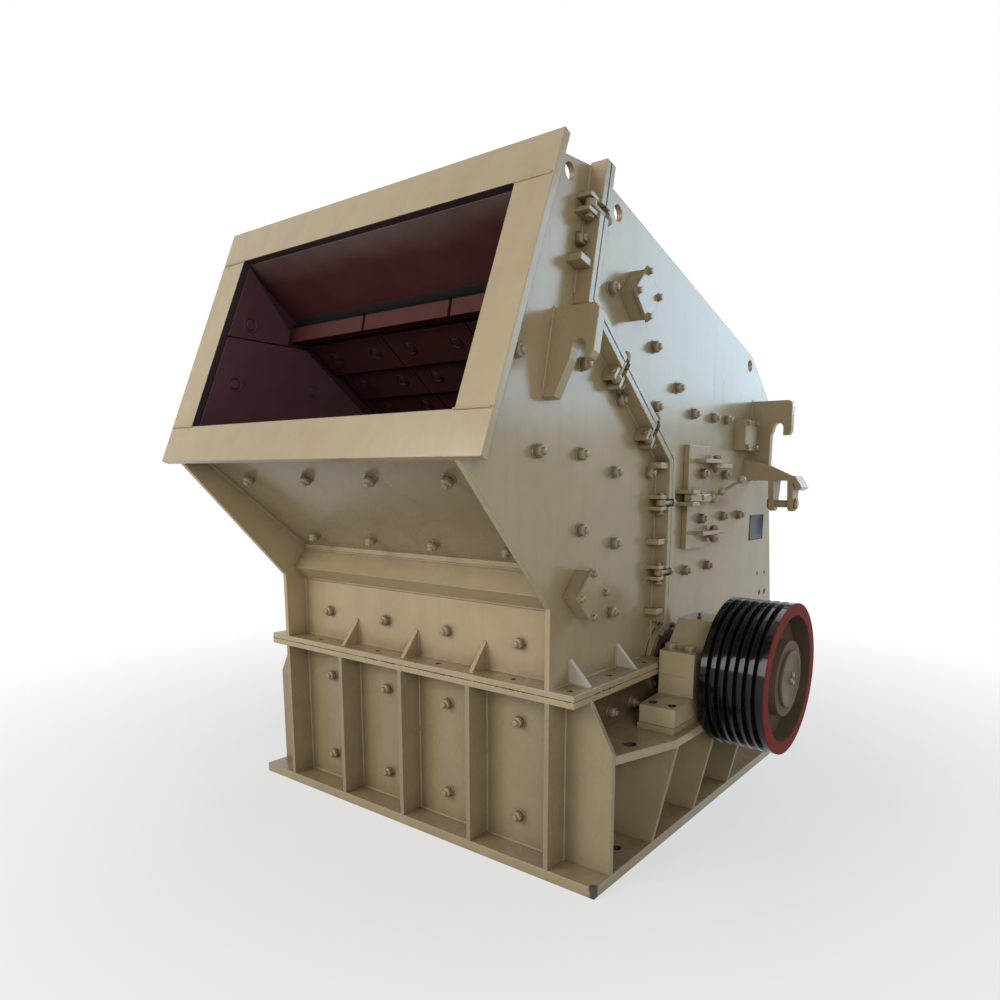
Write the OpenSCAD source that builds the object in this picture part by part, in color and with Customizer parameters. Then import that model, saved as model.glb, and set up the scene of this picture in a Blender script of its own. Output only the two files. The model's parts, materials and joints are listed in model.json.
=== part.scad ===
// Impact crusher with a tilting rear casing, a rotor on two bearing blocks and a grooved pulley.
// X runs along the rotor shaft, -Y is the feed side, +Z is up, and z = 0 is the underside of the foot flange.

/* [Base frame] */
// Width of the foot flange
foot_w = 2088; // [2020:2:2160]
// Overhang of the foot flange beyond the side plates
foot_out = 219; // [190:1:240]
// Length of the foot flange, feed side to rear
base_l = 2420; // [2380:5:2500]
// Thickness of the foot flange
foot_t = 44; // [30:1:50]
// Height of the joint between base frame and upper casing
joint_z = 753; // [735:1:765]
// Thickness of each joint flange
flange_t = 26; // [20:1:30]
// Overhang of the joint flanges beyond the side plates
flange_out = 113; // [95:1:125]
// Thickness of walls and side plates
plate_t = 23; // [18:1:26]
// Depth of the ribs in front of the end walls
rib_depth = 114; // [90:1:130]
// Thickness of a rib
rib_t = 22; // [16:1:28]
// Radius of an anchor hole in the foot flange
anchor_r = 21; // [14:1:26]

/* [Bearing supports] */
// Drop of the bearing shelf's top below the rotor axis
shelf_drop = 200; // [185:1:215]
// Thickness of the bearing shelf
shelf_t = 36; // [28:1:44]
// Reach of the bearing shelf beyond the side plates
shelf_out = 321; // [305:1:335]
// Thickness of a gusset under the shelf
gusset_t = 25; // [18:1:32]

/* [Upper casing] */
// Height of the knee in the front edge of the side plates above the joint
knee_h = 312; // [280:1:340]
// Height at which the chute floor meets the front wall above the joint
chute_h = 462; // [440:1:480]
// Steepness of the chute floor
chute_angle = 39.1; // [37:0.1:41]
// Rise of the parting line from its upper bend to the casing's top
top_rise = 483; // [450:1:520]
// Rise of the parting line from its lower bend to its upper bend
bend_rise = 540; // [510:1:570]
// Distance of the upper bend of the parting line behind the front plane
bend_high_y = 148; // [138:1:158]
// Height of the lower bend of the parting line above the joint
bend_low_h = 888; // [860:1:915]
// Distance of the upright part of the parting line behind the front plane
part_y = 829; // [815:1:840]
// Distance of the parting line's top end behind the front plane
part_top_y = 252; // [240:1:262]
// Width of the parting flanges, outwards from the side plates
part_flange_w = 70; // [60:1:80]
// Thickness of each parting flange
part_flange_t = 28; // [20:1:32]
// Gap between the closed parting flanges
part_gap = 1; // [0.5:0.5:2]
// Distance of the roof's bend from the rear end
roof_bend_back = 531; // [500:1:560]
// Drop of the roof's bend below the casing's top
roof_bend_drop = 442; // [420:1:460]
// Distance of the rear top corner from the rear end
rear_top_back = 253; // [230:1:270]
// Drop of the rear top corner below the roof's bend
rear_top_drop = 202; // [180:1:225]
// Depth of the roof below the edges of the side plates
roof_inset = 115; // [105:1:125]
// Depth of the rear wall inside the edges of the side plates
rear_inset = 60; // [50:1:70]
// Radius of a lifting hole
lift_r = 30; // [22:1:34]

/* [Feed opening] */
// Reach of the feed frame's lower edge in front of the front plane
feed_reach = 512; // [490:1:530]
// Drop of the feed frame's lower edge below the chute's upper edge
feed_drop = 114; // [100:1:130]
// Lean of the feed frame from the upright
feed_lean = 21.8; // [20:0.1:23]
// Length of the feed frame along its lean
feed_len = 1120; // [1090:1:1140]
// Overhang of the feed frame beyond the side plates
feed_out = 109; // [95:1:125]
// Width of the feed frame's bars
feed_bar = 160; // [145:1:166]
// Thickness of the feed frame's bars
feed_t = 30; // [22:1:36]
// Thickness of the wear liners on the walls
liner_t = 30; // [24:1:34]

/* [Rotor] */
// Distance of the rotor axis behind the upright part of the parting line
axis_back = 110; // [100:1:120]
// Drop of the rotor axis below the joint
axis_drop = 23; // [13:1:28]
// Radius of the circle that the blow bars sweep
rotor_r = 660; // [640:1:668]
// Gap between an end face of the rotor and the side plate
rotor_gap = 62; // [52:1:80]
// Height of a blow bar above the rotor discs
bar_show = 100; // [80:1:120]
// Thickness of a rotor disc
disc_t = 90; // [70:1:110]
// Thickness of a blow bar
bar_t = 92; // [80:1:100]
// Depth of a blow bar from its tip to its seat
bar_depth = 270; // [250:1:290]
// Radius of the shaft inside the casing
shaft_r = 110; // [100:1:116]
// Radius of the shaft in its bearings
journal_r = 95; // [85:1:98]
// Radius of the pulley's rims
pulley_r = 330; // [310:1:350]
// Width of the pulley
pulley_w = 278; // [260:1:300]
// Radius of the pulley's hub
hub_r = 166; // [150:1:180]

/* [Bearing blocks] */
// Half length of a bearing block's foot
block_foot = 445; // [430:1:460]
// Half length of a bearing block's body
block_half = 275; // [262:1:290]
// Width of a bearing block along the shaft
block_w = 166; // [150:1:176]
// Gap between a bearing block and the side plate
block_gap = 120; // [110:1:130]
// Height of a bearing block's top above the axis
block_top = 226; // [215:1:240]

/* [Door] */
// Width of the inspection door
door_w = 240; // [225:1:255]
// Height of the inspection door
door_h = 497; // [480:1:520]
// Thickness of the inspection door
door_t = 27; // [20:1:32]
// Distance of the door's middle behind the upright part of the parting line
door_back = 372; // [360:1:385]
// Height of the door's middle above the joint
door_up = 715; // [700:1:730]

/* [Clearances] */
// Running clearance round a pin or a journal
run_gap = 0.3; // [0.2:0.05:0.6]
// Clearance of a closed cover or of a round cut-out
cover_gap = 1; // [0.6:0.2:2]
// Clearance between slanted plates that lie on each other
seat_gap = 0.2; // [0.1:0.05:0.4]

/* [Hidden] */
$fn = 64;

eps = 1;
yf = -base_l / 2;
yr = base_l / 2;
xs = foot_w / 2 - foot_out;
xi = xs - plate_t;
flange_x = xs + flange_out;
shelf_x = xs + shelf_out;
feed_x = xs + feed_out;
wall_y = yf + rib_depth;
up_z = joint_z + flange_t;
axle = [yf + part_y + axis_back, joint_z - axis_drop];
shelf_z = axle[1] - shelf_drop;
knee_z = up_z + knee_h;
chute_z = up_z + chute_h;
bend_low_z = up_z + bend_low_h;
bend_high_z = bend_low_z + bend_rise;
top_z = bend_high_z + top_rise;
roof_bend = [yr - roof_bend_back, top_z - roof_bend_drop];
rear_top = [yr - rear_top_back, roof_bend[1] - rear_top_drop];
seal_r = 185;
seal_cut_r = seal_r + 5;
rib_bottom = foot_t;
rib_top = joint_z - flange_t;

// feed frame axes in the Y-Z plane: along the lean, and outwards
feed_u = [sin(feed_lean), cos(feed_lean)];
feed_n = [-cos(feed_lean), sin(feed_lean)];
feed_low = [yf - feed_reach, chute_z + (rib_depth + feed_reach) * tan(chute_angle) - feed_drop];
feed_back = feed_low - feed_n * feed_t;
feed_seat = feed_back - feed_n * seat_gap;
chute_u = [-cos(chute_angle), sin(chute_angle)];
chute_n = [sin(chute_angle), cos(chute_angle)];
chute_foot = [wall_y, chute_z];

// meeting point of the line p + s u with the line q + t v
function meet(p, u, q, v) =
    let (d = u[0] * v[1] - u[1] * v[0], w = q - p)
    p + u * ((w[0] * v[1] - w[1] * v[0]) / d);
function unit(v) = v / norm(v);
function left_of(v) = [-v[1], v[0]];
// polyline moved sideways by d with mitred corners
function beside(pts, d) = [
    for (i = [0 : len(pts) - 1])
        let (
            a = unit(pts[max(i, 1)] - pts[max(i, 1) - 1]),
            b = unit(pts[min(i, len(pts) - 2) + 1] - pts[min(i, len(pts) - 2)]),
            m = unit(left_of(a) + left_of(b))
        )
        pts[i] + m * (d / (m * left_of(a)))
];
function flip(pts) = [for (i = [len(pts) - 1 : -1 : 0]) pts[i]];
function band(pts, d0, d1) = concat(beside(pts, d0), flip(beside(pts, d1)));

// parting line from the top down to the joint flange
part_line = [
    [yf + part_top_y, top_z], [yf + bend_high_y, bend_high_z],
    [yf + part_y, bend_low_z], [yf + part_y, up_z]
];
part_front = beside(part_line, -part_gap / 2);
part_rear = beside(part_line, part_gap / 2);
flange_end_z = axle[1] + seal_cut_r + 12;
flange_line = [part_line[0], part_line[1], part_line[2], [part_line[3][0], flange_end_z]];
rear_edge = [part_rear[0], roof_bend, rear_top, [yr, up_z]];

// extrude a Y-Z outline along X from x0 to x1
module slab(x0, x1, pts) {
    translate([x0, 0, 0])
        rotate([90, 0, 90])
            linear_extrude(height = x1 - x0)
                polygon(pts);
}
module rod(x0, x1, at, r) {
    translate([x0, at[0], at[1]])
        rotate([0, 90, 0])
            cylinder(r = r, h = x1 - x0);
}
module both() {
    children();
    mirror([1, 0, 0]) children();
}
module block(x0, x1, y0, y1, z0, z1) {
    translate([x0, y0, z0]) cube([x1 - x0, y1 - y0, z1 - z0]);
}

paint = "tan";
primer = "firebrick";
steel = "dimgray";

// base frame
foot_in_y = wall_y + plate_t;
anchor_in = [98, 328];
anchor_x = foot_w / 2 - anchor_in[0];
anchor_y = yr - anchor_in[1];
module foot_flange() {
    color(paint) difference() {
        block(-foot_w / 2, foot_w / 2, yf, yr, 0, foot_t);
        block(-xi, xi, foot_in_y, -foot_in_y, -eps, foot_t + eps);
        for (sx = [-1, 1], sy = [-1, 1])
            translate([sx * anchor_x, sy * anchor_y, -eps]) cylinder(r = anchor_r, h = foot_t + 2 * eps);
    }
}
wing_z = shelf_z + 10;
module end_wall() {
    rotate([90, 0, 0]) translate([0, 0, -foot_in_y]) linear_extrude(height = plate_t) polygon([
        [-foot_w / 2, foot_t], [foot_w / 2, foot_t], [foot_w / 2, wing_z], [flange_x, rib_top],
        [-flange_x, rib_top], [-foot_w / 2, wing_z]
    ]);
}
module base_end_walls() {
    color(paint) {
        end_wall();
        mirror([0, 1, 0]) end_wall();
    }
}
module base_side_wall() {
    difference() {
        block(xi, xs, foot_in_y, -foot_in_y, foot_t, rib_top);
        rod(xi - eps, xs + eps, axle, seal_r - 35);
        block(xi - eps, xs + eps, axle[0] - seal_r + 35, axle[0] + seal_r - 35, axle[1], axle[1] + seal_r);
    }
}
module base_side_walls() { color(paint) both() base_side_wall(); }
rib_pitch = (xs - rib_t / 2) / 2;
module base_ribs() {
    color(paint) for (i = [-2 : 2], s = [0, 1]) mirror([0, s, 0])
        block(i * rib_pitch - rib_t / 2, i * rib_pitch + rib_t / 2, yf, wall_y, rib_bottom, rib_top);
}
joint_hole_r = 11;
joint_hole_in = 52;
module joint_holes(z0) {
    for (sx = [-1, 1], sy = [-1, 1]) {
        for (y = [joint_hole_in, 340, 630])
            translate([sx * (flange_x - joint_hole_in), sy * (yr - y), z0 - eps])
                cylinder(r = joint_hole_r, h = flange_t + 2 * eps);
        for (k = [0.235, 0.74])
            translate([sx * k * xs, sy * (yr - joint_hole_in), z0 - eps])
                cylinder(r = joint_hole_r, h = flange_t + 2 * eps);
    }
}
module flange_ring(z0, x_in) {
    difference() {
        block(-flange_x, flange_x, yf, yr, z0, z0 + flange_t);
        joint_holes(z0);
        block(-x_in, x_in, foot_in_y, -foot_in_y, z0 - eps, z0 + flange_t + eps);
        block(-flange_x - eps, flange_x + eps, axle[0] - seal_cut_r, axle[0] + seal_cut_r,
            z0 - eps, z0 + flange_t + eps);
    }
}
module base_top_flange() { color(paint) flange_ring(rib_top, xi); }

// bearing supports
shelf_mid = axle[0];
shelf_half = shelf_mid - foot_in_y;
shelf_flat = block_foot + 55;
shelf_hole = [foot_w / 2 - 24, shelf_half - 150];
shelf_hole_r = 26;
module bearing_shelves() {
    color(paint) both() translate([0, 0, shelf_z - shelf_t]) linear_extrude(height = shelf_t) difference() {
        polygon([
            [xs, shelf_mid - shelf_half], [foot_w / 2, shelf_mid - shelf_half], [shelf_x, shelf_mid - shelf_flat],
            [shelf_x, shelf_mid + shelf_flat], [foot_w / 2, shelf_mid + shelf_half], [xs, shelf_mid + shelf_half]
        ]);
        for (s = [-1, 1]) translate([shelf_hole[0], shelf_mid + s * shelf_hole[1]]) circle(r = shelf_hole_r);
    }
}
gusset_pitch = 410;
gusset_mid = shelf_mid - 65;
module bearing_gussets() {
    color(paint) both() for (i = [-1 : 1])
        translate([0, gusset_mid + i * gusset_pitch + gusset_t / 2, 0]) rotate([90, 0, 0])
            linear_extrude(height = gusset_t) polygon([
                [xs, foot_t], [foot_w / 2, foot_t], [shelf_x, shelf_z - shelf_t], [xs, shelf_z - shelf_t]
            ]);
}

// front casing
front_outline = concat(
    [[yf, up_z], [yf, knee_z], feed_seat, feed_seat + feed_u * feed_len],
    part_front
);
lift_front = part_line[0] - [162, 63];
lift_rear = [part_line[0] + [167, -108], roof_bend - [32, 49]];
module front_side_plate() {
    difference() {
        slab(xi, xs, front_outline);
        rod(xi - eps, xs + eps, axle, seal_cut_r);
        rod(xi - eps, xs + eps, lift_front, lift_r);
    }
}
module front_side_plates() { color(paint) both() front_side_plate(); }
module front_bottom_flange() {
    color(paint) intersection() {
        flange_ring(joint_z, xi);
        block(-flange_x - eps, flange_x + eps, yf - eps, axle[0], 0, top_z);
    }
}
chute_end = chute_foot + chute_u * (-plate_t / cos(chute_angle));
chute_top = meet(chute_foot, chute_u, feed_seat, feed_u);
chute_in_top = meet(chute_foot + chute_n * plate_t, chute_u, feed_seat, feed_u);
chute_low = chute_end + chute_n * plate_t;
chute_seat = chute_low + chute_n * seat_gap;
module front_wall() {
    color(paint) slab(-xi, xi, [
        [wall_y, up_z], [foot_in_y, up_z], chute_end - [0, seat_gap], chute_foot - [0, seat_gap]
    ]);
}
module chute_floor() {
    color(paint) slab(-xi, xi, [chute_top, chute_end, chute_low, chute_in_top]);
}
knee_out = 66;
module knee_beam() {
    color(paint) slab(-xi, xi, [
        [wall_y, chute_z - 176], [wall_y - knee_out, chute_z - 114],
        [wall_y - knee_out + 19, chute_z - 90], [wall_y, chute_z - 28]
    ]);
}
module feed_bar_box(x0, x1, s0, s1) {
    slab(x0, x1, [
        feed_low + feed_u * s0, feed_back + feed_u * s0, feed_back + feed_u * s1, feed_low + feed_u * s1
    ]);
}
module feed_frame_rails() {
    color(paint) {
        feed_bar_box(-feed_x, feed_x, 0, feed_bar);
        feed_bar_box(-feed_x, feed_x, feed_len - feed_bar, feed_len);
    }
}
module feed_frame_posts() {
    color(paint) both() feed_bar_box(feed_x - feed_bar, feed_x, feed_bar, feed_len - feed_bar);
}
roof_start = feed_seat + feed_u * (feed_len - feed_bar);
roof_low_z = bend_high_z + 93;
part_lean = unit(part_line[0] - part_line[1]);
lintel_t = 30;
function part_at(z, d) =
    meet(part_line[1] + left_of(part_lean) * d, part_lean, [0, z], [1, 0]);
roof_end = part_at(roof_low_z, lintel_t + part_gap + seat_gap);
roof_dir = unit(roof_end - roof_start);
roof_nrm = left_of(roof_dir);
roof_start_up = meet(roof_start + roof_nrm * plate_t, roof_dir, feed_seat, feed_u);
roof_end_up = meet(roof_start + roof_nrm * plate_t, roof_dir, roof_end, part_lean);
module front_roof() {
    color(primer) slab(-xi, xi, [roof_start, roof_end, roof_end_up, roof_start_up]);
}
lintel_top_z = roof_low_z + 60;
module lintel_plate() {
    color(primer) slab(-xi, xi, [
        part_at(bend_high_z + 4, part_gap), part_at(lintel_top_z, part_gap),
        part_at(lintel_top_z, part_gap + lintel_t), part_at(bend_high_z + 4, part_gap + lintel_t)
    ]);
}
lintel_seg = (2 * (xi - liner_t) - 2 * 12) / 3;
lintel_pitch = lintel_seg + 12;
lintel_face = part_gap + lintel_t + seat_gap;
module lintel_blocks() {
    color(primer) for (i = [-1 : 1])
        slab(i * lintel_pitch - lintel_seg / 2 + 2, i * lintel_pitch + lintel_seg / 2 - 2, [
            part_at(bend_high_z + 4, lintel_face), part_at(roof_low_z - 8, lintel_face),
            part_at(roof_low_z - 8, lintel_face + 45), part_at(bend_high_z + 4, lintel_face + 45)
        ]);
}
liner_seam_z = bend_high_z - 21;
liner_gap = 6;
module front_side_liners() {
    front = feed_seat - feed_n * seat_gap;
    low = chute_seat - chute_u * 4;
    lean_at = meet(front, feed_u, [0, liner_seam_z], [1, 0]);
    lean_up = meet(front, feed_u, [0, liner_seam_z + liner_gap], [1, 0]);
    edge = beside(part_line, -part_gap / 2 - 12);
    edge_at = meet(edge[1], unit(edge[2] - edge[1]), [0, liner_seam_z], [1, 0]);
    edge_up = part_at(liner_seam_z + liner_gap, lintel_t + 60);
    color(primer) both() {
        slab(xi - liner_t, xi, [
            meet(chute_seat, chute_u, front, feed_u), low, [low[0], flange_end_z],
            [edge[3][0], flange_end_z], edge[2], edge_at, lean_at
        ]);
        slab(xi - liner_t, xi, [
            lean_up, edge_up, part_at(roof_low_z - 40, lintel_t + 60), front + feed_u * (feed_len - feed_bar - 6)
        ]);
    }
}
module chute_liner() {
    reach = xi - liner_t - 2;
    up = chute_seat + chute_n * liner_t;
    color(primer) slab(-reach, reach, [
        meet(chute_seat, chute_u, feed_seat, feed_u), chute_seat, up, meet(up, chute_u, feed_seat, feed_u)
    ]);
}
module front_parting_flanges() {
    color(paint) both() difference() {
        slab(xs, xs + part_flange_w, band(flange_line, -part_gap / 2, -part_gap / 2 - part_flange_t));
        swing_slots();
    }
}
slant_dir = unit(part_line[1] - part_line[2]);
function slant_at(z) = meet(part_line[2], slant_dir, [0, z], [1, 0]);
swing_at = [
    part_at(bend_high_z + 310, 0), slant_at(bend_low_z + 343), slant_at(bend_low_z + 128),
    part_line[2] - [0, 192], part_line[2] - [0, 503]
];
swing_dir = [part_lean, slant_dir, slant_dir, [0, 1], [0, 1]];
slot_w = 34;
lug_t = 16;
lug_w = 62;
lug_reach = 60;
// open slots for the swing bolts' shanks, through both parting flanges
module swing_slots() {
    for (i = [0 : 4]) {
        d = swing_dir[i] * slot_w / 2;
        n = left_of(swing_dir[i]) * 60;
        c = swing_at[i];
        slab(xs + 14, xs + part_flange_w + eps, [c - d - n, c + d - n, c + d + n, c - d + n]);
    }
}
// plate square to the parting flange, on its front face
module flange_plate(at, dir, t, w, reach) {
    n = left_of(dir);
    c = at + n * (part_gap / 2 + part_flange_t + seat_gap);
    slab(xs, xs + w, [
        c - dir * t / 2, c + dir * t / 2, c + dir * t / 2 + n * reach, c - dir * t / 2 + n * reach
    ]);
}
module swing_bolt_lugs() {
    color(paint) both() for (i = [0 : 4], s = [-1, 1])
        flange_plate(swing_at[i] + swing_dir[i] * s * (slot_w + lug_t) / 2, swing_dir[i], lug_t, lug_w, lug_reach);
}
rib_at = [
    part_at(bend_high_z + 113, 0), part_line[2] - [0, 30], part_line[2] - [0, 363], part_line[2] - [0, 678]
];
rib_dir = [part_lean, [0, 1], [0, 1], [0, 1]];
module flange_ribs() {
    color(paint) both() for (i = [0 : 3])
        flange_plate(rib_at[i], rib_dir[i], 25, part_flange_w - 8, 70);
}
module front_gussets() {
    color(paint) {
        for (i = [-1 : 1]) slab(i * rib_pitch - rib_t / 2, i * rib_pitch + rib_t / 2,
            [[wall_y, up_z], [wall_y, up_z + 120], [yf + 20, up_z]]);
        both() for (y = [yf + 140, yf + 500])
            translate([0, y + rib_t / 2, 0]) rotate([90, 0, 0]) linear_extrude(height = rib_t)
                polygon([[xs, up_z], [flange_x - 15, up_z], [xs, up_z + 100]]);
    }
}
// lifting hook: a plate square to the side plate with a round notch that opens downwards
hook_t = 40;
hook_r = 30;
notch_r = 28;
module hook_plate(w, h, leg_top, leg_foot) {
    notch = [(w + leg_top) / 2 - 15, -148];
    linear_extrude(height = hook_t) difference() {
        union() {
            polygon([
                [0, 0], [w - hook_r, 0], [w, -hook_r], [w, -165], [w - 12, -187], [w - 45, -187],
                [leg_top, -187], [leg_foot, -h], [0, -h]
            ]);
            translate([w - hook_r, -hook_r]) circle(r = hook_r);
        }
        translate(notch) circle(r = notch_r);
        polygon([notch - [notch_r, 0], notch + [notch_r, 0], [w - 42, -h], [leg_top, -h], [leg_top, -187]]);
    }
}
module front_hooks() {
    h = [yf + bend_high_y - 146, bend_high_z - 48];
    color(paint) both() translate([xs, h[0], h[1]])
        rotate([-atan2(part_lean[0], part_lean[1]), 0, 0]) translate([0, hook_t, 0]) rotate([90, 0, 0])
            hook_plate(190, 313, 96, 52);
}
// square box with a cover plate, turned onto a corner
cover_side = 150;
cover_depth = 80;
cover_lid = 12;
module square_cover(at, turn) {
    translate([xs, at[0], at[1]]) rotate([turn, 0, 0]) {
        block(0, cover_depth - cover_lid, -cover_side / 2 + 8, cover_side / 2 - 8, -cover_side / 2 + 8, cover_side / 2 - 8);
        block(cover_depth - cover_lid, cover_depth, -cover_side / 2, cover_side / 2, -cover_side / 2, cover_side / 2);
    }
}
module front_square_covers() { color(paint) both() square_cover([wall_y + 55, chute_z - 107], 47); }

// bearing blocks
sole_t = 26;
block_x = xs + block_gap + block_w / 2;
block_base_z = shelf_z + sole_t;
block_foot_t = 77;
foot_bolt = [46, block_foot - 48];
foot_bolt_r = 18;
module bearing_soles() {
    color(paint) both() block(block_x - block_w / 2 - 3, block_x + block_w / 2 + 3, axle[0] - block_foot - 10,
        axle[0] + block_foot + 10, shelf_z, block_base_z);
}
module block_bore() {
    rod(block_x - block_w, block_x + block_w, axle, journal_r + run_gap);
}
module bearing_bases() {
    color(paint) both() difference() {
        slab(block_x - block_w / 2, block_x + block_w / 2, [
            [axle[0] - block_foot, block_base_z], [axle[0] + block_foot, block_base_z],
            [axle[0] + block_foot, block_base_z + block_foot_t], [axle[0] + block_half, block_base_z + block_foot_t + 12],
            [axle[0] + block_half, axle[1]], [axle[0] - block_half, axle[1]],
            [axle[0] - block_half, block_base_z + block_foot_t + 12], [axle[0] - block_foot, block_base_z + block_foot_t]
        ]);
        block_bore();
        for (sx = [-1, 1], sy = [-1, 1])
            translate([block_x + sx * foot_bolt[0], axle[0] + sy * foot_bolt[1], block_base_z - eps])
                cylinder(r = foot_bolt_r, h = block_foot_t + 2 * eps + 20);
    }
}
shoulder_h = 108;
module bearing_caps() {
    color(paint) both() difference() {
        slab(block_x - block_w / 2, block_x + block_w / 2, concat(
            [for (p = [[block_half, 0], [block_half, shoulder_h], [block_half - 75, shoulder_h],
                [block_half - 100, shoulder_h + 30], [block_half - 175, block_top]]) axle + p],
            [for (p = [[block_half - 175, block_top], [block_half - 100, shoulder_h + 30],
                [block_half - 75, shoulder_h], [block_half, shoulder_h], [block_half, 0]]) axle + [-p[0], p[1]]]
        ));
        block_bore();
    }
}
cover_r = 160;
cover_t = 16;
module bearing_covers() {
    color(paint) both() for (x = [block_x - block_w / 2 - cover_t, block_x + block_w / 2]) difference() {
        rod(x, x + cover_t, axle, cover_r);
        rod(x - eps, x + cover_t + eps, axle, journal_r + run_gap);
    }
}
seal_bore = journal_r + 8;
seal_t = 24;
seal_step_r = seal_r - 38;
module seal_rings() {
    color(paint) both() difference() {
        union() {
            rod(xs, xs + seal_t, axle, seal_r);
            rod(xs + seal_t, xs + seal_t + 14, axle, seal_step_r);
        }
        rod(xs - eps, xs + 2 * seal_t, axle, seal_bore);
    }
}

// hinge of the rear casing
hinge_out = 52;
hinge = [yr + hinge_out, joint_z];
hinge_pin_r = 25;
hinge_r = 48;
hinge_x = xs - 265;
hinge_w = 80;
lug_plate_w = 40;
module hinge_lug(x0, x1, up) {
    difference() {
        union() {
            rod(x0, x1, hinge, hinge_r);
            block(x0, x1, yr, hinge[0], up ? joint_z + 1 : joint_z - hinge_r, up ? joint_z + hinge_r : joint_z - 1);
        }
        rod(x0 - eps, x1 + eps, hinge, hinge_pin_r + run_gap);
    }
}
module hinge_base_lugs() {
    color(paint) both() for (s = [-1, 1]) {
        x = hinge_x + s * (hinge_w / 2 + cover_gap + lug_plate_w / 2);
        hinge_lug(x - lug_plate_w / 2, x + lug_plate_w / 2, false);
    }
}
module hinge_casing_lugs() {
    color(paint) both() hinge_lug(hinge_x - hinge_w / 2, hinge_x + hinge_w / 2, true);
}
module hinge_pins() {
    reach = hinge_w / 2 + cover_gap + lug_plate_w + 12;
    color(steel) both() rod(hinge_x - reach, hinge_x + reach, hinge, hinge_pin_r);
}

// rotor
block_out = block_x + block_w / 2;
pulley_gap = 49;
pulley_x0 = block_out + pulley_gap;
pulley_x1 = pulley_x0 + pulley_w;
hub_face = pulley_x1 - 10;
module shaft() {
    step = xi - liner_t - 10;
    color(steel) union() {
        rod(-step, step, axle, shaft_r);
        rod(-block_out - 20, -step, axle, journal_r);
        rod(step, hub_face, axle, journal_r);
    }
}
disc_n = 5;
rotor_w = 2 * (xi - rotor_gap);
disc_r = rotor_r - bar_show;
disc_pitch = (rotor_w - disc_t) / (disc_n - 1);
bar_seat = rotor_r - bar_depth;
module bar_shape(x0, x1, grow) {
    for (a = [0 : 90 : 270]) translate([0, axle[0], axle[1]]) rotate([a, 0, 0])
        block(x0, x1, -bar_t / 2 - grow, bar_t / 2 + grow, bar_seat - grow, rotor_r);
}
module rotor_discs() {
    color(primer) for (i = [0 : disc_n - 1]) {
        x = -rotor_w / 2 + i * disc_pitch;
        difference() {
            rod(x, x + disc_t, axle, disc_r);
            rod(x - eps, x + disc_t + eps, axle, shaft_r + run_gap);
            bar_shape(x - eps, x + disc_t + eps, run_gap);
        }
    }
}
module blow_bars() { color(steel) bar_shape(-rotor_w / 2, rotor_w / 2, 0); }
rim_n = 7;
rim_pitch = pulley_w / rim_n;
groove_d = 26;
rim_in_r = pulley_r - 54;
module pulley() {
    bore = journal_r + run_gap;
    color(primer) translate([pulley_x0, axle[0], axle[1]]) rotate([0, 90, 0]) rotate_extrude($fn = 96) polygon(concat(
        [[bore, pulley_w * 0.25], [hub_r, pulley_w * 0.25], [hub_r, pulley_w * 0.6], [rim_in_r, pulley_w * 0.6], [rim_in_r, 0], [pulley_r, 0]],
        [for (i = [0 : rim_n - 2], k = [0 : 3])
            let (z = (i + 1) * rim_pitch, w = rim_pitch * 0.34, v = rim_pitch * 0.18)
            [k == 1 || k == 2 ? pulley_r - groove_d : pulley_r, z + (k == 0 ? -w : k == 1 ? -v : k == 2 ? v : w)]],
        [[pulley_r, pulley_w], [rim_in_r, pulley_w], [rim_in_r, pulley_w * 0.72], [hub_r, pulley_w * 0.72],
         [hub_r, hub_face - pulley_x0], [bore, hub_face - pulley_x0]]
    ));
}
module pulley_cap() {
    color(paint) rod(hub_face, pulley_x1 + 14, axle, hub_r - 22);
}

// rear casing
rear_outline = concat(flip(part_rear), [rear_edge[1], rear_edge[2], rear_edge[3]]);
door_hole = [door_w - 60, door_h - 70];
door_z = up_z + door_up;
door_mid = [yf + part_y + door_back, door_z];
module rear_side_plate() {
    difference() {
        slab(xi, xs, rear_outline);
        rod(xi - eps, xs + eps, axle, seal_cut_r);
        for (p = lift_rear) rod(xi - eps, xs + eps, p, lift_r);
        block(xi - eps, xs + eps, door_mid[0] - door_hole[0] / 2, door_mid[0] + door_hole[0] / 2,
            door_mid[1] - door_hole[1] / 2, door_mid[1] + door_hole[1] / 2);
    }
}
module rear_side_plates() { color(paint) both() rear_side_plate(); }
roof_path = [rear_edge[0], rear_edge[1], rear_edge[2]];
roof_top = beside(roof_path, -roof_inset);
roof_low = beside(roof_path, -roof_inset - plate_t);
front_gap = part_gap / 2 + plate_t;
rear_wall_dir = unit(rear_edge[3] - rear_edge[2]);
wall_out = rear_edge[3] + left_of(rear_wall_dir) * -rear_inset;
wall_in = wall_out + left_of(rear_wall_dir) * -plate_t;
chamfer_dir = unit(roof_top[2] - roof_top[1]);
front_top = meet(roof_top[0], unit(roof_top[1] - roof_top[0]), part_line[1] - left_of(part_lean) * front_gap, part_lean);
front_low = meet(roof_low[0], unit(roof_low[1] - roof_low[0]), part_line[1] - left_of(part_lean) * front_gap, part_lean);
module rear_roof() {
    color(paint) slab(-xi, xi, [
        front_top, roof_top[1], meet(roof_top[1], chamfer_dir, wall_out, rear_wall_dir),
        meet(roof_low[1], chamfer_dir, wall_out, rear_wall_dir), roof_low[1], front_low
    ]);
}
module rear_front_plate() {
    top = part_line[1] - left_of(part_lean) * (part_gap / 2);
    color(paint) slab(-xi, xi, [
        meet(top, part_lean, [0, bend_high_z + 30], [1, 0]),
        meet(top, part_lean, [0, front_top[1]], [1, 0]),
        front_top,
        meet(front_top, part_lean, [0, bend_high_z + 30], [1, 0])
    ]);
}
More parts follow.
